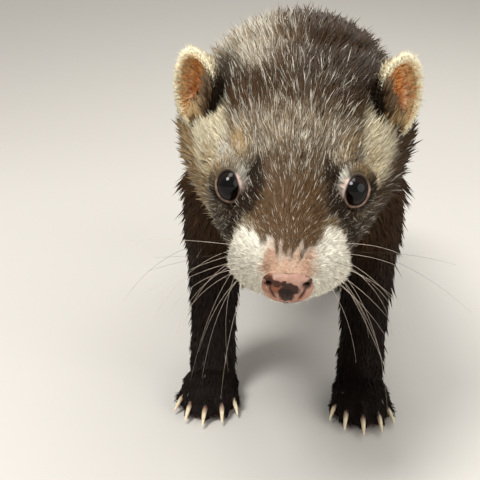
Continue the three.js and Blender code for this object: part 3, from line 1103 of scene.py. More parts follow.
@dataclass(frozen=True)
class CoatPatch:
    """A stretch of coat in one mesh, with the kinds of hair that grow there."""

    name: str
    region: Region
    locks: tuple[Lock, ...]
    inside: Callable[[Array], Array]
    scale: Callable[[Array], Array]
    slot: str = "brown_coat"

    def roots(self, skin: Skin, lock: Lock, random: np.random.Generator) -> tuple[Array, Array]:
        """Picks root places on the skin, evenly by area.

        Args:
            skin: the skin under the coat.
            lock: the kind of hair.
            random: the source of random draws.

        Returns:
            The triangle of each root and its three corner weights.
        """
        corners = skin.points[skin.triangles]
        first, second = corners[:, 1] - corners[:, 0], corners[:, 2] - corners[:, 0]
        area = 0.5 * np.linalg.norm(np.cross(first, second), axis=1)
        middle = corners.mean(axis=1)
        shares = skin.shares[skin.triangles].mean(axis=1)
        ours = shares[:, self.region.value] >= shares.max(axis=1) - 1e-9
        weight = area * (ours * self.inside(middle) * growing_share(skin, middle))
        total = weight.sum()
        count = int(total * lock.per_mm2)
        steps = (np.arange(count) + random.random(count)) / count * total
        chosen = np.minimum(np.searchsorted(np.cumsum(weight), steps), len(weight) - 1)
        u, v = random.random(count), random.random(count)
        flip = u + v > 1.0
        u[flip], v[flip] = 1.0 - u[flip], 1.0 - v[flip]
        return chosen, np.stack([1.0 - u - v, u, v], axis=1)

    def grow(self, skin: Skin, lock: Lock, plan: list[Stretch], random: np.random.Generator) -> Hairs:
        """Grows one kind of hair over the patch.

        Hairs whose roots share a cell of a lattice lean towards that cell's middle.

        Args:
            skin: the skin under the coat.
            lock: the kind of hair.
            plan: the stretches of the body, for the unwrap.
            random: the source of random draws.

        Returns:
            The hairs, with the skin's normals under them.
        """
        chosen, weights = self.roots(skin, lock, random)
        corners = skin.triangles[chosen]
        root, normal, flow, shares = (
            (values[corners] * weights[:, :, None]).sum(axis=1)
            for values in (skin.points, skin.normals, skin.flow, skin.shares)
        )
        normal = unit(normal)
        count = len(root)
        flow = flow + 0.32 * noise_vectors(root, 7.0, 31) + 0.16 * random.normal(size=(count, 3))
        flow = unit(flatten(flow, normal))
        size = self.scale(root)
        length = lock.length * size * random.uniform(0.72, 1.18, count)
        width = lock.width * np.sqrt(size) * random.uniform(0.7, 1.3, count)
        extra = fluff(root) + ruff(root)
        rise = np.radians(lock.rise + 20.0 * extra + random.normal(0.0, 7.0, count))
        lie = np.radians(lock.lie + 14.0 * extra + random.normal(0.0, 8.0, count))
        cell = np.floor(root / lock.cell) * lock.cell + 0.5 * lock.cell
        uneven = 0.6 + 0.8 * lattice_noise(root, 2.5 * lock.cell, 41)
        lean = lock.clump * flatten(cell - root, normal) * uneven[:, None]
        points, faces = spindles(root, normal, flow, length, width, rise, lie, lean)
        points[:, :, 2] = np.maximum(points[:, :, 2], LOWEST)
        points[:, :, 0] = np.clip(points[:, :, 0], -WIDEST, WIDEST)
        colours = hair_colours(root + 0.5 * length[:, None] * flow, shares, lock.guard, random)
        unwrap = stretch_unwrap(plan[self.region.value], root)
        return Hairs(points.reshape(-1, 3), faces, colours, unwrap, np.repeat(normal, 4, axis=0))

    def build(self, skin: Skin, plan: list[Stretch], random: np.random.Generator) -> bpy.types.Object:
        """Grows all the locks of the patch as one piece."""
        return hair_piece(self.name, [self.grow(skin, lock, plan, random) for lock in self.locks])


def eye_corner(local: Array) -> Array:
    """The share of bald skin in the corner above and inside each eye, in the head's frame."""
    return spot(fold(local), (11.9, 25.0, 8.0), (2.1, 3.4, 2.6), 0.3)


def growing_share(skin: Skin, middle: Array) -> Array:
    """The share of hair that grows: none at the eyes, on the soles and under the nose's leather."""
    local = HEAD.to_local(middle)
    grown = 1.0 - 0.88 * eye_corner(local)
    for _, side in SIDES:
        grown *= ramp(4.75, 5.1, distance(local, HEAD.eye(side)))
    down = skin.normals[skin.triangles].mean(axis=1)[:, 2] < -0.6
    grown *= ~(down & (middle[:, 2] < 3.0))
    out, back, up = fold(local).T
    grown *= 1.0 - 0.85 * fall(1.8, 4.2, back) * fall(3.0, 4.8, out) * ramp(-2.5, -1.0, up)
    leather = np.hypot(out / 5.6, (up + 4.2) / 3.9) < 1.0
    grown *= ~(leather & (back < 3.4))
    return grown


def spindles(
    root: Array, normal: Array, flow: Array, length: Array, width: Array,
    rise: Array, lie: Array, lean: Array,
) -> tuple[Array, Array]:
    """Slim closed spindles, one to each hair.

    Each has four points: a root in the skin, one on either side of its middle, and a tip. The
    root half rises off the skin at one angle and the tip half lies over at a smaller one, and
    that bend gives the spindle its thickness.

    Args:
        root: (n, 3) places on the skin.
        normal: (n, 3) the skin's normals there.
        flow: (n, 3) directions that the hairs lie in, square to the normals.
        length: (n,) lengths.
        width: (n,) widths at the middle.
        rise: (n,) lift of the root half, in radians.
        lie: (n,) lift of the tip half, in radians.
        lean: (n, 3) how far the tip is pulled to its clump.

    Returns:
        (n, 4, 3) points and (4 n, 3) triangles.
    """
    lie = np.minimum(lie, rise - math.radians(3.0))
    rising = np.cos(rise)[:, None] * flow + np.sin(rise)[:, None] * normal
    lying = np.cos(lie)[:, None] * flow + np.sin(lie)[:, None] * normal
    middle = root + BEND * length[:, None] * rising
    tip = middle + (1.0 - BEND) * length[:, None] * lying
    half = 0.5 * width[:, None] * unit(np.cross(flow, normal))
    middle = middle + 0.4 * lean
    points = np.stack([root - ROOT_DEPTH * normal, middle - half, middle + half, tip + lean], axis=1)
    pattern = np.array([[0, 2, 1], [3, 1, 2], [0, 1, 3], [0, 3, 2]])
    faces = (np.arange(len(root))[:, None, None] * 4 + pattern[None]).reshape(-1, 3)
    return points, faces


def spindle_unwrap(place: Array) -> Array:
    """Each spindle's patch of the unwrap, 0.003 across, at its root's place on it."""
    offsets = np.array([[0.0, 0.0], [-0.0015, 0.001], [0.0015, 0.001], [0.0, 0.003]])
    return (place[:, None, :] + offsets[None]).reshape(-1, 2)


def stretch_unwrap(stretch: Stretch, root: Array) -> Array:
    """Each hair's patch of the unwrap: turn round the stretch's axis across, way along it up."""
    _, _, along, turn = stretch.locate(root)
    return spindle_unwrap(np.stack([0.02 + 0.96 * turn, 0.02 + 0.95 * along], axis=1))


def hair_colours(root: Array, shares: Array, guard: bool, random: np.random.Generator) -> Array:
    """Colour of each hair's four points: its root, twice its middle, and its tip; the root is darkened as
    painted shade deep in the coat.

    Args:
        root: (n, 3) where each hair takes its marking from.
        shares: (n, regions) shares there.
        guard: whether it is a guard hair, whose tip has the tip's colour.
        random: the source of random draws.

    Returns:
        (4 n, 3) linear colours.
    """
    marks = coat_marks(root, shares)
    count = len(root)
    tone = np.exp(random.normal(0.0, 0.16, count))[:, None]
    silvery = (random.random(count) < marks.silver).astype(float) * random.uniform(0.4, 1.0, count)
    # The roots are darkened as painted shade deep in the coat.
    if guard:
        base, middle, tip = 0.7 * marks.under, 0.35 * marks.under + 0.65 * marks.tip, marks.tip
    else:
        base, middle, tip = 0.6 * marks.under, marks.under, 0.75 * marks.under + 0.25 * marks.tip
    middle = mix(middle, PALETTE.silver, 0.3 * silvery)
    tip = mix(tip, PALETTE.silver, silvery)
    rows = np.stack([base, middle, middle, tip], axis=1) * tone[:, None, :]
    return rows.reshape(-1, 3)


def fluff(points: Array) -> Array:
    """1 where hair stands out more, which is on the outer side of the whisker pads."""
    return spot(fold(HEAD.to_local(points)), (14.5, 12.0, -4.5), (4.5, 8.0, 5.5), 0.5)


def ruff(points: Array) -> Array:
    """0.6 where the hair stands up behind the head, which is high on the left of the neck."""
    left, back, up = points.T
    return 0.6 * ramp(8.0, 22.0, left) * ramp(98.0, 112.0, up) * ramp(-128.0, -116.0, back)


def everywhere(points: Array) -> Array:
    """1 at every point."""
    return np.ones(len(points))


def head_back(low: float, high: float) -> Callable[[Array], Array]:
    """A test of whether a point lies between two distances back from the nose tip."""
    return lambda points: band(low, high, 0.01, HEAD.to_local(points)[:, 1])


def forward_of(low: float, high: float) -> Callable[[Array], Array]:
    """A test of whether a point lies between two distances ahead of the middle of the back."""
    return lambda points: band(low, high, 0.01, ahead(points))


def face_scale(points: Array) -> Array:
    """Length of the hair of the face against the crown's: short on the muzzle and near the eyes."""
    local = HEAD.to_local(points)
    out, back, up = fold(local).T
    size = np.interp(
        back, [1.0, 4.0, 9.0, 18.0, 30.0, 44.0, 60.0, 75.0], [0.13, 0.22, 0.38, 0.46, 0.60, 0.95, 1.15, 1.3]
    )
    bridge = fall(4.5, 8.0, out) * ramp(-1.0, 1.0, up)
    size = size * (1.0 - 0.4 * bridge * fall(5.0, 18.0, back))
    size = size * (1.0 - 0.35 * fall(6.0, 14.0, back) * fall(-10.0, -7.5, up))
    for _, side in SIDES:
        size = size * (0.3 + 0.7 * ramp(4.8, 11.0, distance(local, HEAD.eye(side))))
        size = size * (1.0 - 0.5 * bell(distance(local, np.array([side * 22.5, 51.0, 11.0])), 7.5))
    return size * (1.0 + 0.25 * fall(-14.0, 0.0, up) * ramp(36.0, 56.0, back))


def trunk_scale(points: Array) -> Array:
    """Length of the trunk's hair: shorter on the belly and at the neck."""
    along = np.interp(ahead(points), [30.0, 62.0, 92.0], [1.0, 0.82, 0.64])
    return np.interp(points[:, 2], [46.0, 60.0, 84.0], [0.68, 0.88, 1.0]) * along


def leg_scale(points: Array) -> Array:
    """Length of the leg's hair: from the thigh down to very short on the toes."""
    return np.interp(points[:, 2], [0.0, 7.0, 16.0, 34.0, 60.0, 90.0], [0.34, 0.42, 0.62, 0.9, 1.25, 1.65])


def tail_scale(points: Array) -> Array:
    """Length of the tail's hair: even, and shorter at the very tip."""
    return np.interp(ahead(points), [-254.0, -240.0, -220.0], [0.55, 0.8, 1.0])


def coat_plan() -> list[CoatPatch]:
    """The patches of the coat, from the nose to the tail."""
    muzzle = (
        Lock(7.2, 0.30, 20.0, 8.0, 14.0, clump=0.2, cell=1.4),
        Lock(9.0, 0.24, 26.0, 13.0, 5.5, clump=0.3, cell=1.8, guard=True),
    )
    face = (
        Lock(7.0, 0.31, 22.0, 9.0, 10.0, clump=0.2, cell=1.8),
        Lock(8.8, 0.24, 26.0, 13.0, 5.0, clump=0.3, cell=2.4, guard=True),
    )
    head = (
        Lock(6.8, 0.30, 25.0, 10.0, 8.3, clump=0.25, cell=2.4),
        Lock(8.8, 0.235, 31.0, 16.0, 5.0, clump=0.35, cell=3.2, guard=True),
    )
    neck = (
        Lock(12.0, 0.47, 27.0, 8.0, 2.45, clump=0.22, cell=3.6),
        Lock(16.5, 0.345, 29.0, 11.0, 2.35, clump=0.3, cell=4.6, guard=True),
    )
    trunk = (
        Lock(12.0, 0.58, 26.0, 7.0, 1.5, clump=0.22, cell=4.0),
        Lock(16.5, 0.41, 29.0, 10.0, 1.65, clump=0.3, cell=5.5, guard=True),
    )
    leg = (
        Lock(6.4, 0.39, 19.0, 6.0, 1.97, clump=0.15, cell=2.2),
        Lock(8.2, 0.305, 22.0, 9.0, 1.5, clump=0.22, cell=2.8, guard=True),
    )
    tail = (
        Lock(13.5, 0.52, 26.0, 8.0, 2.2, clump=0.25, cell=4.0),
        Lock(18.0, 0.40, 30.0, 11.0, 2.6, clump=0.3, cell=5.0, guard=True),
    )
    patches = [
        CoatPatch("coat_muzzle", Region.HEAD, muzzle, head_back(-5.0, 24.0), face_scale, "pale_coat"),
        CoatPatch("coat_face", Region.HEAD, face, head_back(24.0, 44.0), face_scale),
        CoatPatch("coat_crown", Region.HEAD, head, head_back(44.0, 60.0), face_scale),
        CoatPatch("coat_nape", Region.HEAD, head, head_back(60.0, 120.0), face_scale),
        CoatPatch("coat_neck", Region.TRUNK, neck, forward_of(34.0, 200.0), trunk_scale, "dark_coat"),
        CoatPatch("coat_chest", Region.TRUNK, trunk, forward_of(-40.0, 34.0), trunk_scale, "golden_coat"),
        CoatPatch("coat_loin", Region.TRUNK, trunk, forward_of(-200.0, -40.0), trunk_scale, "golden_coat"),
        CoatPatch("coat_tail", Region.TAIL, tail, everywhere, tail_scale, "dark_coat"),
    ]
    for side, _ in SIDES:
        for limb in ("foreleg", "hindleg"):
            region = Region[f"{limb}_{side}".upper()]
            patches.append(CoatPatch(f"coat_{limb}_{side}", region, leg, everywhere, leg_scale, "dark_coat"))
    return patches


# Eyes and lids


@dataclass(frozen=True)
class Eye:
    """An eyeball with its iris and the lids round it."""

    word: str
    side: float
    radius: float = 4.6
    opening: float = 38.5  # mean polar angle of the lids' edge round the gaze, in degrees
    lid: float = 0.3  # how far the lid's edge stands off at most
    bed: float = 0.2  # how far the rest of the lid lies over the eyeball
    hairs: int = 3400

    def axes(self) -> Array:
        """Rows: across the eye, up it and out along the gaze, in the row frame."""
        gaze = unit(np.array([self.side * 0.14, -0.90, 0.40]))
        across = unit(np.cross([0.0, 0.0, 1.0], gaze))
        up = np.cross(gaze, across)
        return np.stack([across, up, gaze]) @ HEAD.axes()

    def centre(self) -> Array:
        """Middle of the eyeball in the row frame."""
        return HEAD.to_world(HEAD.eye(self.side)[None])[0]

    def to_world(self, local: Array) -> Array:
        """Places in the eye's own frame as places in the row frame."""
        return local @ self.axes() + self.centre()

    def outward(self, turn: Array) -> Array:
        """The turn round the gaze counted from the ear's side, with a quarter turn straight up."""
        return turn if self.side > 0 else math.pi - turn

    def edge(self, turn: Array) -> Array:
        """Polar angle of the lids' edge in radians.

        It is a steep oval, 7.5 degrees longer than wide on either side of its mean and set 4
        degrees to the ear's side. Its upper sides are drawn in, so that it comes to a point at its
        top, and another small point marks its low inner corner.
        """
        out = self.outward(turn)
        oval = self.opening + 7.5 * np.cos(2.0 * (out - 1.31)) + 4.0 * np.cos(out)
        drawn = 4.0 * np.maximum(np.sin(out), 0.0) * np.abs(np.sin(2.0 * out))
        points = 3.0 * turn_bell(out, 1.25, 0.28) + 3.0 * turn_bell(out, -1.95, 0.32)
        return np.radians(oval - drawn + points)

    def ball(self) -> bpy.types.Object:
        """A sphere whose front bulges a little as the cornea, as rings round the gaze."""
        rows, columns = 40, 48
        polar = np.linspace(0.0, math.pi, rows + 2)[1:-1]
        bulge = self.radius * (1.0 + 0.11 * bell(polar, 0.6))
        rings = sphere_points(bulge[:, None], polar[:, None], full_turn(columns)).reshape(-1, 3)
        local = np.concatenate([rings, [[0.0, 0.0, bulge[0]], [0.0, 0.0, -bulge[-1]]]])
        piece = new_piece(f"eyeball_{self.word}", self.to_world(local), tube_faces(rows, columns)[:, ::-1])
        angle = np.arccos(np.clip(unit(local)[:, 2], -1.0, 1.0))
        pupil, iris, rim = linear("#020202"), linear("#160c07"), linear("#0a0605")
        colour = mix(pupil, iris, ramp(0.40, 0.52, angle))
        paint(piece, mix(colour, rim, ramp(0.80, 0.95, angle)))
        return piece

    def lids(self) -> bpy.types.Object:
        """The lids as one ring: from under their edge, over it, and out into the face.

        Out from the edge the surface starts on the eyeball, rounds over the lid's margin, which
        stands off least on the nose's side, and then lies a little over the eyeball until it is
        well under the skin.
        """
        rows, columns = 24, 96
        turn = full_turn(columns)
        steps = np.linspace(0.0, 1.0, rows)
        wide = np.interp(steps, [0.0, 0.1, 0.2, 0.4, 0.6, 1.0], [0.02, -0.01, 0.0, 0.12, 0.24, 1.0])
        margin = np.interp(steps, [0.0, 0.1, 0.2, 0.4, 0.6, 1.0], [-0.6, 0.2, 0.8, 1.0, 0.0, 0.0])
        proud = self.lid * (0.35 + 0.65 * ramp(-0.8, 0.2, np.cos(self.outward(turn) + 0.5)))
        polar = self.edge(turn)[None, :] + wide[:, None]
        reach = self.radius + (self.bed * ramp(0.1, 0.3, steps))[:, None] + margin[:, None] * proud[None, :]
        local = sphere_points(reach, polar, turn).reshape(-1, 3)
        local = np.concatenate([local, local[-columns:] * 0.9, local[:columns] * 0.9])
        ring = grid_faces(rows + 2, columns)
        seal = grid_faces(2, columns)
        seal = np.where(seal < columns, seal + (rows + 1) * columns, seal - columns)
        world = self.to_world(local)
        piece = new_piece(f"eyelid_{self.word}", world, np.concatenate([ring, seal]))
        share = np.repeat(np.concatenate([steps, [1.0, 0.0]]), columns)
        paint(piece, self.lid_colours(share, np.tile(self.outward(turn), rows + 2), world))
        return piece

    def lid_colours(self, share: Array, out: Array, world: Array) -> Array:
        """Colours of the lids.

        From a dark inner edge they pass to a pale margin on the ear's side and below, and beyond
        it to the face's underfur, darkened as painted shade as on the skin, with bald pink skin in
        the upper inner corner and flushed skin in the lower one.
        """
        worn = linear("#8f7767") * (0.35 + 1.0 * lattice_noise(world, 0.8, 53)[:, None])
        rim = mix(linear("#1c1410"), worn, ramp(-0.5, 0.6, np.cos(out + 1.1)))
        colour = mix(linear("#150e0b"), rim, ramp(0.14, 0.24, share))
        corner = turn_bell(out, -1.9, 0.8) * fall(0.75, 0.95, share)
        # Beyond the margin: the face's underfur darkened as painted shade, as on the skin.
        outer = mix(0.7 * face_marks(world).under, linear("#7a523e"), corner)
        mottle = 0.75 + 0.5 * lattice_noise(world, 0.9, 51)[:, None]
        outer = mix(outer, mottle * PALETTE.bald, eye_corner(HEAD.to_local(world)))
        return mix(colour, outer, ramp(0.28, 0.46, share))

    def down(self, plan: list[Stretch], random: np.random.Generator) -> bpy.types.Object:
        """Short hair on the lids beyond their margin, which lies away from the opening and back.

        Args:
            plan: the stretches of the body, for the unwrap.
            random: the source of random draws.

        Returns:
            The piece.
        """
        turn = random.uniform(0.0, 2.0 * math.pi, self.hairs)
        polar = self.edge(turn) + random.uniform(0.11, 1.0, self.hairs)
        level = np.cos(polar)
        falling = np.stack([level * np.cos(turn), level * np.sin(turn), -np.sin(polar)], axis=1)
        normal, away = sphere_points(1.0, polar, turn) @ self.axes(), falling @ self.axes()
        root = self.centre() + (self.radius + self.bed) * normal
        bald = eye_corner(HEAD.to_local(root))
        kept = random.random(self.hairs) < 1.0 - 0.75 * bald
        root, normal, away, bald, count = root[kept], normal[kept], away[kept], bald[kept], int(kept.sum())
        flow = away + 0.8 * HEAD.axes()[1] + 0.5 * HEAD.axes()[2] + 0.2 * random.normal(size=(count, 3))
        flow = unit(flatten(flow, normal))
        lift = np.radians(random.uniform(14.0, 26.0, count))
        high = ramp(5.0, 9.0, HEAD.to_local(root)[:, 2])
        length = random.uniform(1.3, 2.3, count) * (1.0 + 0.8 * high)
        width = random.uniform(0.11, 0.19, count)
        points, faces = spindles(root, normal, flow, length, width, lift, 0.4 * lift, np.zeros((count, 3)))
        shares = np.tile(np.eye(len(plan))[Region.HEAD.value], (count, 1))
        colours = mix(hair_colours(root, shares, False, random), PALETTE.silver, 0.7 * np.repeat(bald, 4))
        unwrap = stretch_unwrap(plan[Region.HEAD.value], root)
        hairs = Hairs(points.reshape(-1, 3), faces, colours, unwrap, np.repeat(normal, 4, axis=0))
        return hair_piece(f"coat_lid_{self.word}", [hairs])


# Nose


@dataclass(frozen=True)
class NoseLeather:
    """The bare nose: a pebbled pad with a nostril on each side and a groove down its middle."""

    half_width: float = 5.8
    half_height: float = 4.1
    back: float = 2.5  # middle of the pad, back from the nose tip
    depth: float = 3.4
    up: float = -4.2

    def build(self) -> bpy.types.Object:
        """A squarish ball of rings from the front to the back, pressed in at nostrils and groove.

        Its section narrows downward, so that its lower outline is a U. Each press is a bell curve
        of the distance, across the front, from the middle of the hollow. A nostril is a comma: a
        round hollow in the upper outer corner with a groove that runs down and inward from it.
        """
        rows, columns = 90, 120
        polar = np.linspace(0.0, math.pi, rows + 2)[1:-1]
        turn = full_turn(columns)
        flat = np.abs(np.sin(polar)) ** 0.72
        square = superoval(turn, 2.6)
        x = np.outer(flat, np.cos(turn) * square) * self.half_width
        z = np.outer(flat, np.sin(turn) * square) * self.half_height
        x = x * (1.0 - 0.16 * ramp(0.0, -1.0, z / self.half_height))
        facing = np.cos(polar)[:, None]
        s = -np.sign(facing) * np.abs(facing) ** 0.8 * self.depth
        front = ramp(0.05, 0.3, facing)
        side = np.abs(x)
        nostril = bell(side - 4.15 + 0.35 * (z - 1.3), 0.85) * bell(z - 1.3, 0.72)
        tail = bell(side - 3.9 - 0.55 * (z - 0.6), 0.42) * band(-1.8, 1.3, 0.6, z)
        slit = bell(z + 3.4 - 0.12 * (side - 2.6) ** 2, 0.36) * band(1.3, 4.0, 0.5, side)
        groove = bell(x, 0.36) * fall(-0.8, 2.0, z)
        wing = bell(side - 2.6, 1.3) * bell(z - 1.1, 1.1)
        s = s + front * (1.9 * nostril + 0.55 * tail + 0.5 * slit + 0.4 * groove - 0.3 * wing)
        rings = np.stack([x, s + self.back, z + self.up], axis=2).reshape(-1, 3)
        poles = [[0.0, self.back - self.depth, self.up], [0.0, self.back + self.depth, self.up]]
        local = np.concatenate([rings, poles])
        piece = new_piece("nose_leather", HEAD.to_world(local), tube_faces(rows, columns))
        # How deep each point lies in a nostril or slit, for the painted shade there.
        hollow = (front * np.maximum(nostril, 0.7 * np.maximum(slit, tail))).ravel()
        paint(piece, self.colours(local, np.concatenate([hollow, [0.0, 0.0]])))
        return piece

    def colours(self, local: Array, hollow: Array) -> Array:
        """Pink leather with a dark blotch astride its groove and red-brown on its right half,
        with painted shade in the nostrils and the slits that run from them.

        Args:
            local: (n, 3) places in the head's frame.
            hollow: how deep each lies in a hollow, which sets the painted shade there.

        Returns:
            (n, 3) linear colours.
        """
        x, z = local[:, 0], local[:, 2] - self.up
        fray = 2.2 * (lattice_noise(local, 1.3, 51) - 0.5) + 1.8 * (lattice_noise(local, 0.5, 52) - 0.5)

        def blotch(across: float, up: float, wide: float, high: float) -> Array:
            """1 inside a frayed oval of the given middle and half sizes."""
            return fall(0.8, 1.15, np.hypot((x - across) / wide, (z - up) / high) + 0.42 * fray)

        colour = mix(linear("#a87b68"), linear("#9c7a6a"), ramp(-1.5, 1.8, z))
        for share, shade in (
            (blotch(-3.2, 1.2, 2.7, 2.0), "#7a4832"),
            (blotch(-4.5, 0.4, 1.0, 1.3), "#8e6450"),
            (blotch(-2.7, 2.3, 2.6, 0.7), "#3a2118"),
            (blotch(0.4, 1.1, 2.0, 1.5), "#24110a"),
            (blotch(-0.4, -0.6, 1.8, 1.6), "#1c0d08"),
            (blotch(4.4, 1.9, 1.4, 0.7), "#38241c"),
            (blotch(2.6, -2.9, 1.6, 0.6), "#5e4036"),
            (blotch(-2.8, -3.1, 1.6, 0.5), "#4c332b"),
        ):
            colour = mix(colour, linear(shade), 0.95 * share)
        # Painted shade in the nostrils and the slits, by their depth.
        return mix(colour, linear("#160c0a"), np.clip(1.2 * hollow, 0.0, 1.0))


# Ears


@dataclass(frozen=True)
class Ear:
    """A round cupped ear: thin skin, an orange hollow and a pale fuzzy rim."""

    word: str
    side: float
    width: float = 17.8
    height: float = 18.4
    thick: float = 1.4
    power: float = 2.4  # of its outline: 2 is an oval and more is squarer
    place: tuple[float, float, float] = (25.2, 55.5, 18.2)
    dark_top: tuple[float, float] = (4.2, 7.4)  # heights over which its front edge turns cream
    cream: Array = tint("#e6dcbc")

    def axes(self) -> Array:
        """Rows: across the ear, from its hollow to its back, and up it, in the row frame."""
        turn = Matrix.Rotation(self.side * 0.9, 3, "Z") @ Matrix.Rotation(-0.12, 3, "X")
        turn = turn @ Matrix.Rotation(self.side * -0.06, 3, "Y")
        return np.array(turn).T @ HEAD.axes()

    def to_world(self, local: Array) -> Array:
        """Places in the ear's own frame as places in the row frame."""
        across, back, up = self.place
        return local @ self.axes() + HEAD.to_world(np.array([[self.side * across, back, up]]))

    def surface(self, reach: Array, turn: Array, wall: Array) -> Array:
        """Points of the cup: reach from its middle, turn round it, and the side of its wall.

        Its outline is between an oval and a rectangle, so that its top is broadly rounded.
        The bowl is deepest in the middle, its rim rolls forward, a fold runs up inside the hollow
        and the lower inner quarter sinks to the ear's canal.
        """
        square = superoval(turn, self.power)
        x = 0.5 * self.width * reach * np.cos(turn) * square
        z = 0.5 * self.height * reach * np.sin(turn) * square * (1.0 - 0.06 * np.cos(2.0 * turn))
        bowl = 5.2 * (1.0 - reach**2) - 1.2
        fold_up = -1.0 * bell(x * self.side + 1.0 + 0.12 * z, 1.5) * band(0.15, 0.72, 0.12, reach)
        canal = 2.0 * bell(x * self.side + 3.4, 3.0) * bell(z + 5.0, 3.4)
        roll = -0.5 * bell(reach - 0.92, 0.07)
        thick = 0.5 * self.thick * wall * np.sqrt(np.clip(1.0 - reach**8, 0.0, 1.0))
        return np.stack([x, bowl + fold_up + canal + roll + thick, z], axis=-1)

    def build(self) -> bpy.types.Object:
        """Rings from the middle of the hollow, over the rim, to the middle of the back."""
        columns = 72
        out = np.sin(np.linspace(0.02, 0.5 * math.pi, 26))
        reach = np.concatenate([out, out[::-1][1:]])
        wall = np.concatenate([-np.ones(26), np.ones(25)])
        rings = self.surface(reach[:, None], -full_turn(columns), wall[:, None]).reshape(-1, 3)
        poles = [self.surface(np.array(0.0), np.array(0.0), np.array(side)) for side in (-1.0, 1.0)]
        local = np.concatenate([rings, poles])
        piece = new_piece(f"ear_shell_{self.word}", self.to_world(local), tube_faces(len(reach), columns))
        reach = np.concatenate([np.repeat(reach, columns), [0.0, 0.0]])
        wall = np.concatenate([np.repeat(wall, columns), [-1.0, 1.0]])
        paint(piece, self.colours(reach, wall, local))
        return piece

    def colours(self, reach: Array, wall: Array, local: Array) -> Array:
        """Orange inside, redder towards the canal, cream at the rim and brown behind."""
        inner, deep, rim = linear("#dc9a58"), linear("#b0663a"), linear("#eee3c4")
        colour = mix(inner, deep, fall(-5.0, 4.0, local[:, 2]) * fall(0.5, 0.95, reach))
        colour = mix(colour, rim, ramp(0.58, 0.86, reach))
        base = self.front(local) * fall(*self.dark_top, local[:, 2]) * ramp(0.45, 0.7, reach)
        colour = mix(colour, PALETTE.mask, base)
        behind = mix(PALETTE.brown, rim, self.paling(reach, local))
        return mix(colour, behind, (wall > 0).astype(float))

    def front(self, local: Array) -> Array:
        """1 on the front edge of the ear, which is the one by the crown, fading across it."""
        return ramp(-1.0, 2.5, -local[:, 0] * self.side)

    def paling(self, reach: Array, local: Array) -> Array:
        """How far the back of the ear is cream: at the rim, and high on the front edge."""
        front = self.front(local)
        return np.maximum(ramp(0.6, 0.95, reach) * (1.0 - front), front * ramp(*self.dark_top, local[:, 2]))

    def fuzz(self, random: np.random.Generator) -> bpy.types.Object:
        """Velvet on the rim and the back, thin hair in the hollow and a dark fringe across it."""
        parts = [
            self.hairs(random, 5200, (0.84, 1.0), 0.0, 1.5, 0.19, self.cream, linear("#f2ead2")),
            self.hairs(random, 1500, (0.68, 0.9), -1.0, 1.6, 0.15, linear("#dcb07a"), linear("#e8d2a2")),
            self.hairs(random, 2600, (0.05, 0.96), 1.0, 2.8, 0.28, PALETTE.brown, PALETTE.tan),
            self.hairs(random, 320, (0.2, 0.8), -1.0, 3.2, 0.09, linear("#c98a52"), linear("#d9a468")),
            self.fringe(random, 620),
        ]
        return hair_piece(f"coat_ear_{self.word}", parts)

    def stand(self, reach: Array, turn: Array, sides: Array) -> tuple[Array, Array, Array]:
        """Place, outward direction and normal of the cup's wall, by small steps along it."""
        root = self.surface(reach, turn, sides)
        ahead_of = self.surface(np.minimum(reach + 0.04, 1.02), turn, sides) - root
        around = self.surface(reach, turn + 0.04, sides) - root
        normal = unit(np.cross(around, ahead_of))
        return root, unit(ahead_of), np.where(((normal[:, 1] * sides) < 0.0)[:, None], -normal, normal)

    def spun(
        self, root: Array, normal: Array, way: Array, size: Array, width: Array, lift: Array,
        rows: Array, across: Array, reach: Array,
    ) -> Hairs:
        """Spindles of the given directions and sizes, moved from the ear's frame to the row frame.

        Args:
            root: places on the ear.
            normal: its normals there.
            way: directions, which are laid along the surface.
            size: lengths.
            width: widths.
            lift: rise of each hair off the surface, in radians.
            rows: (n, 4, 3) colours.
            across: the root's place across the unwrap.
            reach: the root's reach, which is its place up the unwrap.
        """
        way = unit(flatten(way, normal))
        points, faces = spindles(root, normal, way, size, width, lift, 0.4 * lift, np.zeros_like(root))
        unwrap = spindle_unwrap(np.stack([across, 0.02 + 0.9 * reach], axis=1))
        return Hairs(self.to_world(points.reshape(-1, 3)), faces, rows.reshape(-1, 3), unwrap)

    def hairs(
        self, random: np.random.Generator, count: int, span: tuple[float, float], wall: float, length: float,
        width: float, under: Array, tip_colour: Array,
    ) -> Hairs:
        """Spindles that grow outward from the ear's middle.

        Args:
            random: the source of random draws.
            count: how many hairs.
            span: nearest and furthest reach of the roots, as a share of the ear's radius.
            wall: 1 for the back, -1 for the hollow, 0 for both.
            length: mean length.
            width: mean width.
            under: colour of the hair, which turns cream towards the rim on the back.
            tip_colour: colour that the tips tend to.
        """
        reach = np.sqrt(random.uniform(span[0] ** 2, span[1] ** 2, count))
        turn = random.uniform(0.0, 2.0 * math.pi, count)
        sides = np.full(count, wall) if wall else random.choice([-1.0, 1.0], count)
        root, outward, normal = self.stand(reach, turn, sides)
        way = outward + 0.25 * random.normal(size=(count, 3)) + np.array([0.0, 0.0, 0.35])
        size = length * random.uniform(0.6, 1.2, count)
        lift = np.radians(np.clip(26.0 + 8.0 * random.normal(size=count), 8.0, 50.0))
        wide = width * random.uniform(0.7, 1.3, count)
        tone = np.exp(random.normal(0.0, 0.10, count))[:, None, None]
        colour = mix(under, self.cream, self.paling(reach, root) if wall > 0 else np.zeros(count))
        tips = tip_colour
        if span[1] > 0.85:
            height = root[:, 2] + 0.8 * random.normal(size=count)
            dark = self.front(root) * fall(*self.dark_top, height)
            colour, tips = mix(colour, PALETTE.mask, dark), mix(tips, PALETTE.mask, dark)
        rows = np.stack([colour, colour, colour, 0.5 * colour + 0.5 * tips], axis=1) * tone
        across = (0.02 if wall > 0 else 0.52) + 0.44 * turn / (2.0 * math.pi)
        return self.spun(root, normal, way, size, wide, lift, rows, across, reach)

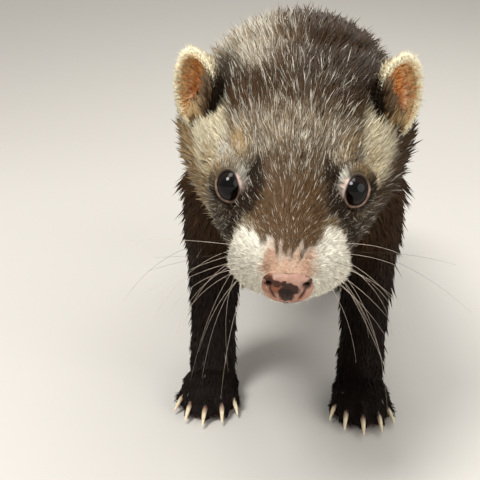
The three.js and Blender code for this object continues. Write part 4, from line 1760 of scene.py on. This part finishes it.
    def fringe(self, random: np.random.Generator, count: int) -> Hairs:
        """Long hairs from the front edge's lower part, that rise across the hollow and lean out."""
        reach = np.sqrt(random.uniform(0.55, 1.0, count))
        around = random.uniform(math.radians(160.0), math.radians(262.0), count)
        turn = around if self.side > 0 else math.pi - around
        root, _, normal = self.stand(reach, turn, -np.ones(count))
        way = np.array([0.45 * self.side, -0.25, 1.0]) + 0.18 * random.normal(size=(count, 3))
        size = 6.4 * random.uniform(0.6, 1.25, count)
        lift = np.radians(np.clip(26.0 + 9.0 * random.normal(size=count), 8.0, 50.0))
        share = ramp(-7.5, -3.5, root[:, 2] + 1.5 * random.normal(size=count))
        colour = mix(PALETTE.tan, PALETTE.brown, share)
        # Darker at the root and middle as painted shade in the coat, and lighter at the tip.
        rows = np.stack([0.6 * colour, 0.8 * colour, 0.8 * colour, 1.2 * colour], axis=1)
        across = 0.52 + 0.44 * around / (2.0 * math.pi)
        return self.spun(root, normal, way, size, np.full(count, 0.2), lift, rows, across, reach)


# Claws and whiskers


def swept_horns(paths: Array, radii: Array, columns: int) -> tuple[Array, Array]:
    """Many tapered tubes at once.

    Args:
        paths: (n, rows, 3) middles along each tube.
        radii: (n, rows) radius there.
        columns: points round each tube.

    Returns:
        Points and triangles; each tube is closed by a point at either end.
    """
    count, rows, _ = paths.shape
    way = unit(np.gradient(paths, axis=1))
    across = unit(np.cross(way, np.array([0.31, 0.17, 0.93])))
    over = np.cross(across, way)
    turn = full_turn(columns)[:, None]
    circle = np.cos(turn) * across[:, :, None, :] + np.sin(turn) * over[:, :, None, :]
    rings = paths[:, :, None, :] + radii[:, :, None, None] * circle
    start, end = paths[:, 0] - way[:, 0] * radii[:, :1], paths[:, -1] + way[:, -1] * radii[:, -1:]
    points = np.concatenate([rings.reshape(count, -1, 3), np.stack([start, end], axis=1)], axis=1)
    pattern = tube_faces(rows, columns)
    faces = (np.arange(count)[:, None, None] * (rows * columns + 2) + pattern[None]).reshape(-1, 3)
    return points.reshape(-1, 3), faces


@dataclass(frozen=True)
class Claws:
    """The five claws of one foot, each a curved horn of pale keratin."""

    foot: str
    side: str
    rows: int = 16
    columns: int = 14
    radius: float = 1.05
    room: float = 1.8  # width of the solid that a straight horn fills

    def build(self) -> bpy.types.Object:
        """Each horn starts in the toe, where its solid starts, and curves down to its tip.

        The path is a parabola from the solid's upper back to its lower front, and the radius
        falls along it as the square root of what is left.
        """
        steps = np.linspace(0.0, 1.0, self.rows)
        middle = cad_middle(f"{self.foot}claw_{self.side}_3")
        paths = []
        for k in range(1, 6):
            low, high = (np.array(corner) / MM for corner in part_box(f"{self.foot}claw_{self.side}_{k}"))
            lateral = 0.5 * (low[0] + high[0]) - middle[0]
            lean = np.sign(lateral) * 0.5 * (high[0] - low[0] - self.room) if abs(lateral) > 0.5 else 0.0
            x = 0.5 * (low[0] + high[0]) + lean * (2.0 * steps - 1.0)
            y = high[1] - 0.4 + (low[1] - high[1] + 0.5) * steps
            z = low[2] + 0.5 + (high[2] - low[2] - 1.0) * (1.0 - steps**2.1)
            paths.append(np.stack([x, y, z], axis=1))
        radii = np.tile(self.radius * np.sqrt(1.0 - 0.97 * steps) * (0.85 + 0.15 * steps), (5, 1))
        points, faces = swept_horns(np.array(paths), radii, self.columns)
        piece = new_piece(f"claws_{self.foot}_{self.side}", points, faces)
        share = np.tile(np.concatenate([np.repeat(steps, self.columns), [0.0, 1.0]]), 5)
        paint(piece, mix(linear("#7d6353"), linear("#d6c6a8"), ramp(0.15, 0.7, share)))
        return piece


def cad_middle(node: str) -> Array:
    """Middle of a solid's box, in millimetres."""
    low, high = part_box(node)
    return 0.5 * (np.array(low) + np.array(high)) / MM


@dataclass(frozen=True)
class Whiskers:
    """The long hairs of the whisker pads and brows: stiff, curved and tapering to nothing."""

    reach: float = 46.6  # furthest from the middle plane, so that they stay near the solids
    root_radius: float = 0.042
    columns: int = 5

    def build(self, skin: Skin, random: np.random.Generator) -> bpy.types.Object:
        """Four rows on each pad and a few over each eye, rooted on the skin.

        A whisker leaves the pad outward, and bends back and down with the square of the way
        along it. The lower rows start lower and hang more.
        """
        rows = 14
        steps = np.linspace(0.0, 1.0, rows)[:, None]
        hide = HEAD.to_local(skin.points)
        paths, pale = [], []

        def whisker(root: Array, length: float, out: Array, bend: Array, light: bool) -> None:
            start = hide[((hide - root) ** 2).sum(axis=1).argmin()]
            paths.append(start + length * (out * steps + bend * steps**2))
            pale.append(light)

        for _, side in SIDES:
            for row in range(4):
                for k in range(4):
                    root = np.array([side * (10.5 + 1.0 * k), 5.5 + 3.0 * k, 0.2 - 2.6 * row - 0.3 * k])
                    length = (23.0 + 4.5 * k) * random.uniform(0.75, 1.15)
                    out = unit(np.array([side * (0.95 - 0.12 * row), -0.15 + 0.13 * k, 0.02 - 0.33 * row])
                               + 0.12 * random.normal(size=3))
                    bend = np.array([-side * 0.16, 0.2, -0.42 - 0.06 * row]) + 0.12 * random.normal(size=3)
                    whisker(root, length, out, bend, row > 0 or random.random() < 0.3)
            for k in range(3):
                root = np.array([side * (11.0 + 1.4 * k), 27.0 + 2.4 * k, 13.0])
                out = unit(np.array([side * 0.7, -0.1, 0.6]) + 0.12 * random.normal(size=3))
                whisker(root, random.uniform(11.0, 16.0), out, np.array([side * 0.2, 0.4, -0.2]), False)
        places = HEAD.to_world(np.array(paths).reshape(-1, 3)).reshape(len(paths), rows, 3)
        radii = np.tile(self.root_radius * (1.0 - 0.75 * steps[:, 0]), (len(paths), 1))
        points, faces = swept_horns(places, radii, self.columns)
        points[:, 0] = np.clip(points[:, 0], -self.reach, self.reach)
        piece = new_piece("whiskers", points, faces)
        shade = np.repeat(np.array(pale, float), rows * self.columns + 2)
        paint(piece, mix(linear("#33291f"), linear("#cdbfae"), shade))
        return piece


# Studio


@dataclass(frozen=True)
class Studio:
    """A pale floor, soft lights and the camera of the photograph."""

    focal_px: float = 850.0
    frame_px: float = 480.0
    camera_from_nose: tuple[float, float, float] = (1.2, -176.4, 49.1)
    yaw: float = math.radians(-3.8)
    pitch: float = math.radians(13.3)
    roll: float = math.radians(1.6)

    def stand(self, thing: bpy.types.Object, right: Array, up: Array, back: Array, spot: Array) -> None:
        """Puts a camera or a lamp into the scene, by its three axes and its place in metres."""
        bpy.context.scene.collection.objects.link(thing)
        place = np.eye(4)
        place[:3] = np.stack([right, up, back, spot], axis=1)
        thing.matrix_world = Matrix(place.tolist())

    def camera(self) -> None:
        """Places the camera by its distance from the nose tip and its three turns."""
        data = bpy.data.cameras.new("camera")
        data.sensor_fit = "HORIZONTAL"
        data.sensor_width = 36.0
        data.lens = self.focal_px * data.sensor_width / self.frame_px
        data.clip_start = 0.01
        camera = bpy.data.objects.new("camera", data)
        level = math.cos(self.pitch)
        look = np.array([math.sin(self.yaw) * level, math.cos(self.yaw) * level, -math.sin(self.pitch)])
        right = np.array([math.cos(self.yaw), -math.sin(self.yaw), 0.0])
        up = np.cross(right, look)
        c, s = math.cos(self.roll), math.sin(self.roll)
        spot = (HEAD.origin() + np.array(self.camera_from_nose)) * MM
        self.stand(camera, c * right + s * up, c * up - s * right, -look, spot)
        bpy.context.scene.camera = camera

    def lamp(self, name: str, place: tuple[float, float, float], size: float, power: float) -> None:
        """A round soft lamp that faces the head.

        Args:
            name: its name.
            place: where it stands, in metres.
            size: its width in metres.
            power: its power in watts.
        """
        data = bpy.data.lights.new(name, "AREA")
        data.shape = "DISK"
        data.size = size
        data.energy = power
        back = unit(np.array(place) - HEAD.origin() * MM)
        right = unit(np.cross([0.0, 0.0, 1.0], back))
        self.stand(bpy.data.objects.new(name, data), right, np.cross(back, right), back, np.array(place))

    def floor(self) -> None:
        """A pale matt floor that curves up far behind into a backdrop.

        Its profile runs level, turns up on a quarter circle and stands; it is carried straight
        across.
        """
        turn = np.linspace(0.0, 0.5 * math.pi, 24)
        radius, run, half_width, top = 2600.0, 380.0, 3200.0, 3200.0
        along = np.concatenate([[-radius, 0.0, run], run + radius * np.sin(turn[1:]), [run + radius]])
        height = np.concatenate([[0.0, 0.0, 0.0], radius - radius * np.cos(turn[1:]), [top]])
        count = len(along)
        sides = (-half_width, half_width)
        rails = [np.stack([np.full(count, side), along, height], axis=1) for side in sides]
        k = np.arange(count - 1)
        faces = np.stack([k, k + count, k + count + 1, k + 1], axis=1)
        floor = new_piece("floor", np.concatenate(rails), faces)
        material = bpy.data.materials.new("painted board")
        material.use_nodes = True
        shader = material.node_tree.nodes["Principled BSDF"]
        shader.inputs["Base Color"].default_value = (*linear("#c3bfb8"), 1.0)
        shader.inputs["Roughness"].default_value = 0.9
        floor.data.materials.append(material)

    def build(self) -> None:
        """Sets up the camera, the floor, the lamps and the room's own light."""
        self.camera()
        self.floor()
        self.lamp("key", (-0.5, -0.8, 1.2), 0.5, 17.0)
        self.lamp("top", (-0.12, -0.35, 1.3), 0.5, 4.5)
        self.lamp("fill", (0.95, -0.85, 0.55), 1.3, 9.0)
        self.lamp("rim", (0.25, 0.75, 1.0), 0.7, 6.0)
        world = bpy.data.worlds.new("room")
        world.use_nodes = True
        light = world.node_tree.nodes["Background"]
        light.inputs["Color"].default_value = (*linear("#f4f1ec"), 1.0)
        light.inputs["Strength"].default_value = 0.62
        bpy.context.scene.world = world
        bpy.context.scene.view_settings.view_transform = "Standard"


def main() -> None:
    """Builds the whole animal in order and reports each piece."""
    logging.basicConfig(level=logging.INFO, format="%(name)s %(message)s")
    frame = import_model()
    Studio().build()
    random = np.random.default_rng(SEED)
    plan = body_plan()

    eyes = [Eye(word, side) for word, side in SIDES]
    skin = Skin()
    hide = skin.build(frame, eyes)
    paint(hide, skin.colours())
    dress(hide, HideFinish().material(), "dark_coat", *skin.flesh_nodes())

    # The lids are thin dry skin, nearly matt; an ear is thinner still, and light comes through it
    wet = EyeFinish().material()
    lid = LeatherFinish("lid skin", roughness=0.6, grain=0.35, depth=0.05, coat=0.0).material()
    cartilage = LeatherFinish("ear skin", roughness=0.6, grain=0.6, depth=0.05, translucence=0.35, coat=0.0)
    thin = cartilage.material()
    fur = FurFinish().material()
    for eye in eyes:
        dress(eye.ball(), wet, "eye", f"eye_{eye.word}")
        dress(eye.lids(), lid, "nose_leather")
        dress(eye.down(plan, random), fur, "dark_coat")
    for word, side in SIDES:
        ear = Ear(word, side)
        dress(ear.build(), thin, "ear_skin", f"ear_{word}")
        dress(ear.fuzz(random), fur, "pale_coat")
    dress(NoseLeather().build(), LeatherFinish("nose leather").material(), "nose_leather", "nose")

    # Claws are keratin grown in layers: smooth, satin and a little translucent
    keratin = LeatherFinish("claw horn", roughness=0.3, grain=0.9, depth=0.03, translucence=0.25, coat=0.15)
    horn = keratin.material()
    for foot in ("fore", "hind"):
        for word, _ in SIDES:
            claws = Claws(foot, word).build()
            dress(claws, horn, "claw", *[f"{foot}claw_{word}_{k}" for k in range(1, 6)])

    for patch in coat_plan():
        dress(patch.build(skin, plan, random), fur, patch.slot)
    dress(Whiskers().build(skin, random), fur, "pale_coat")


if __name__ == "__main__":
    main()
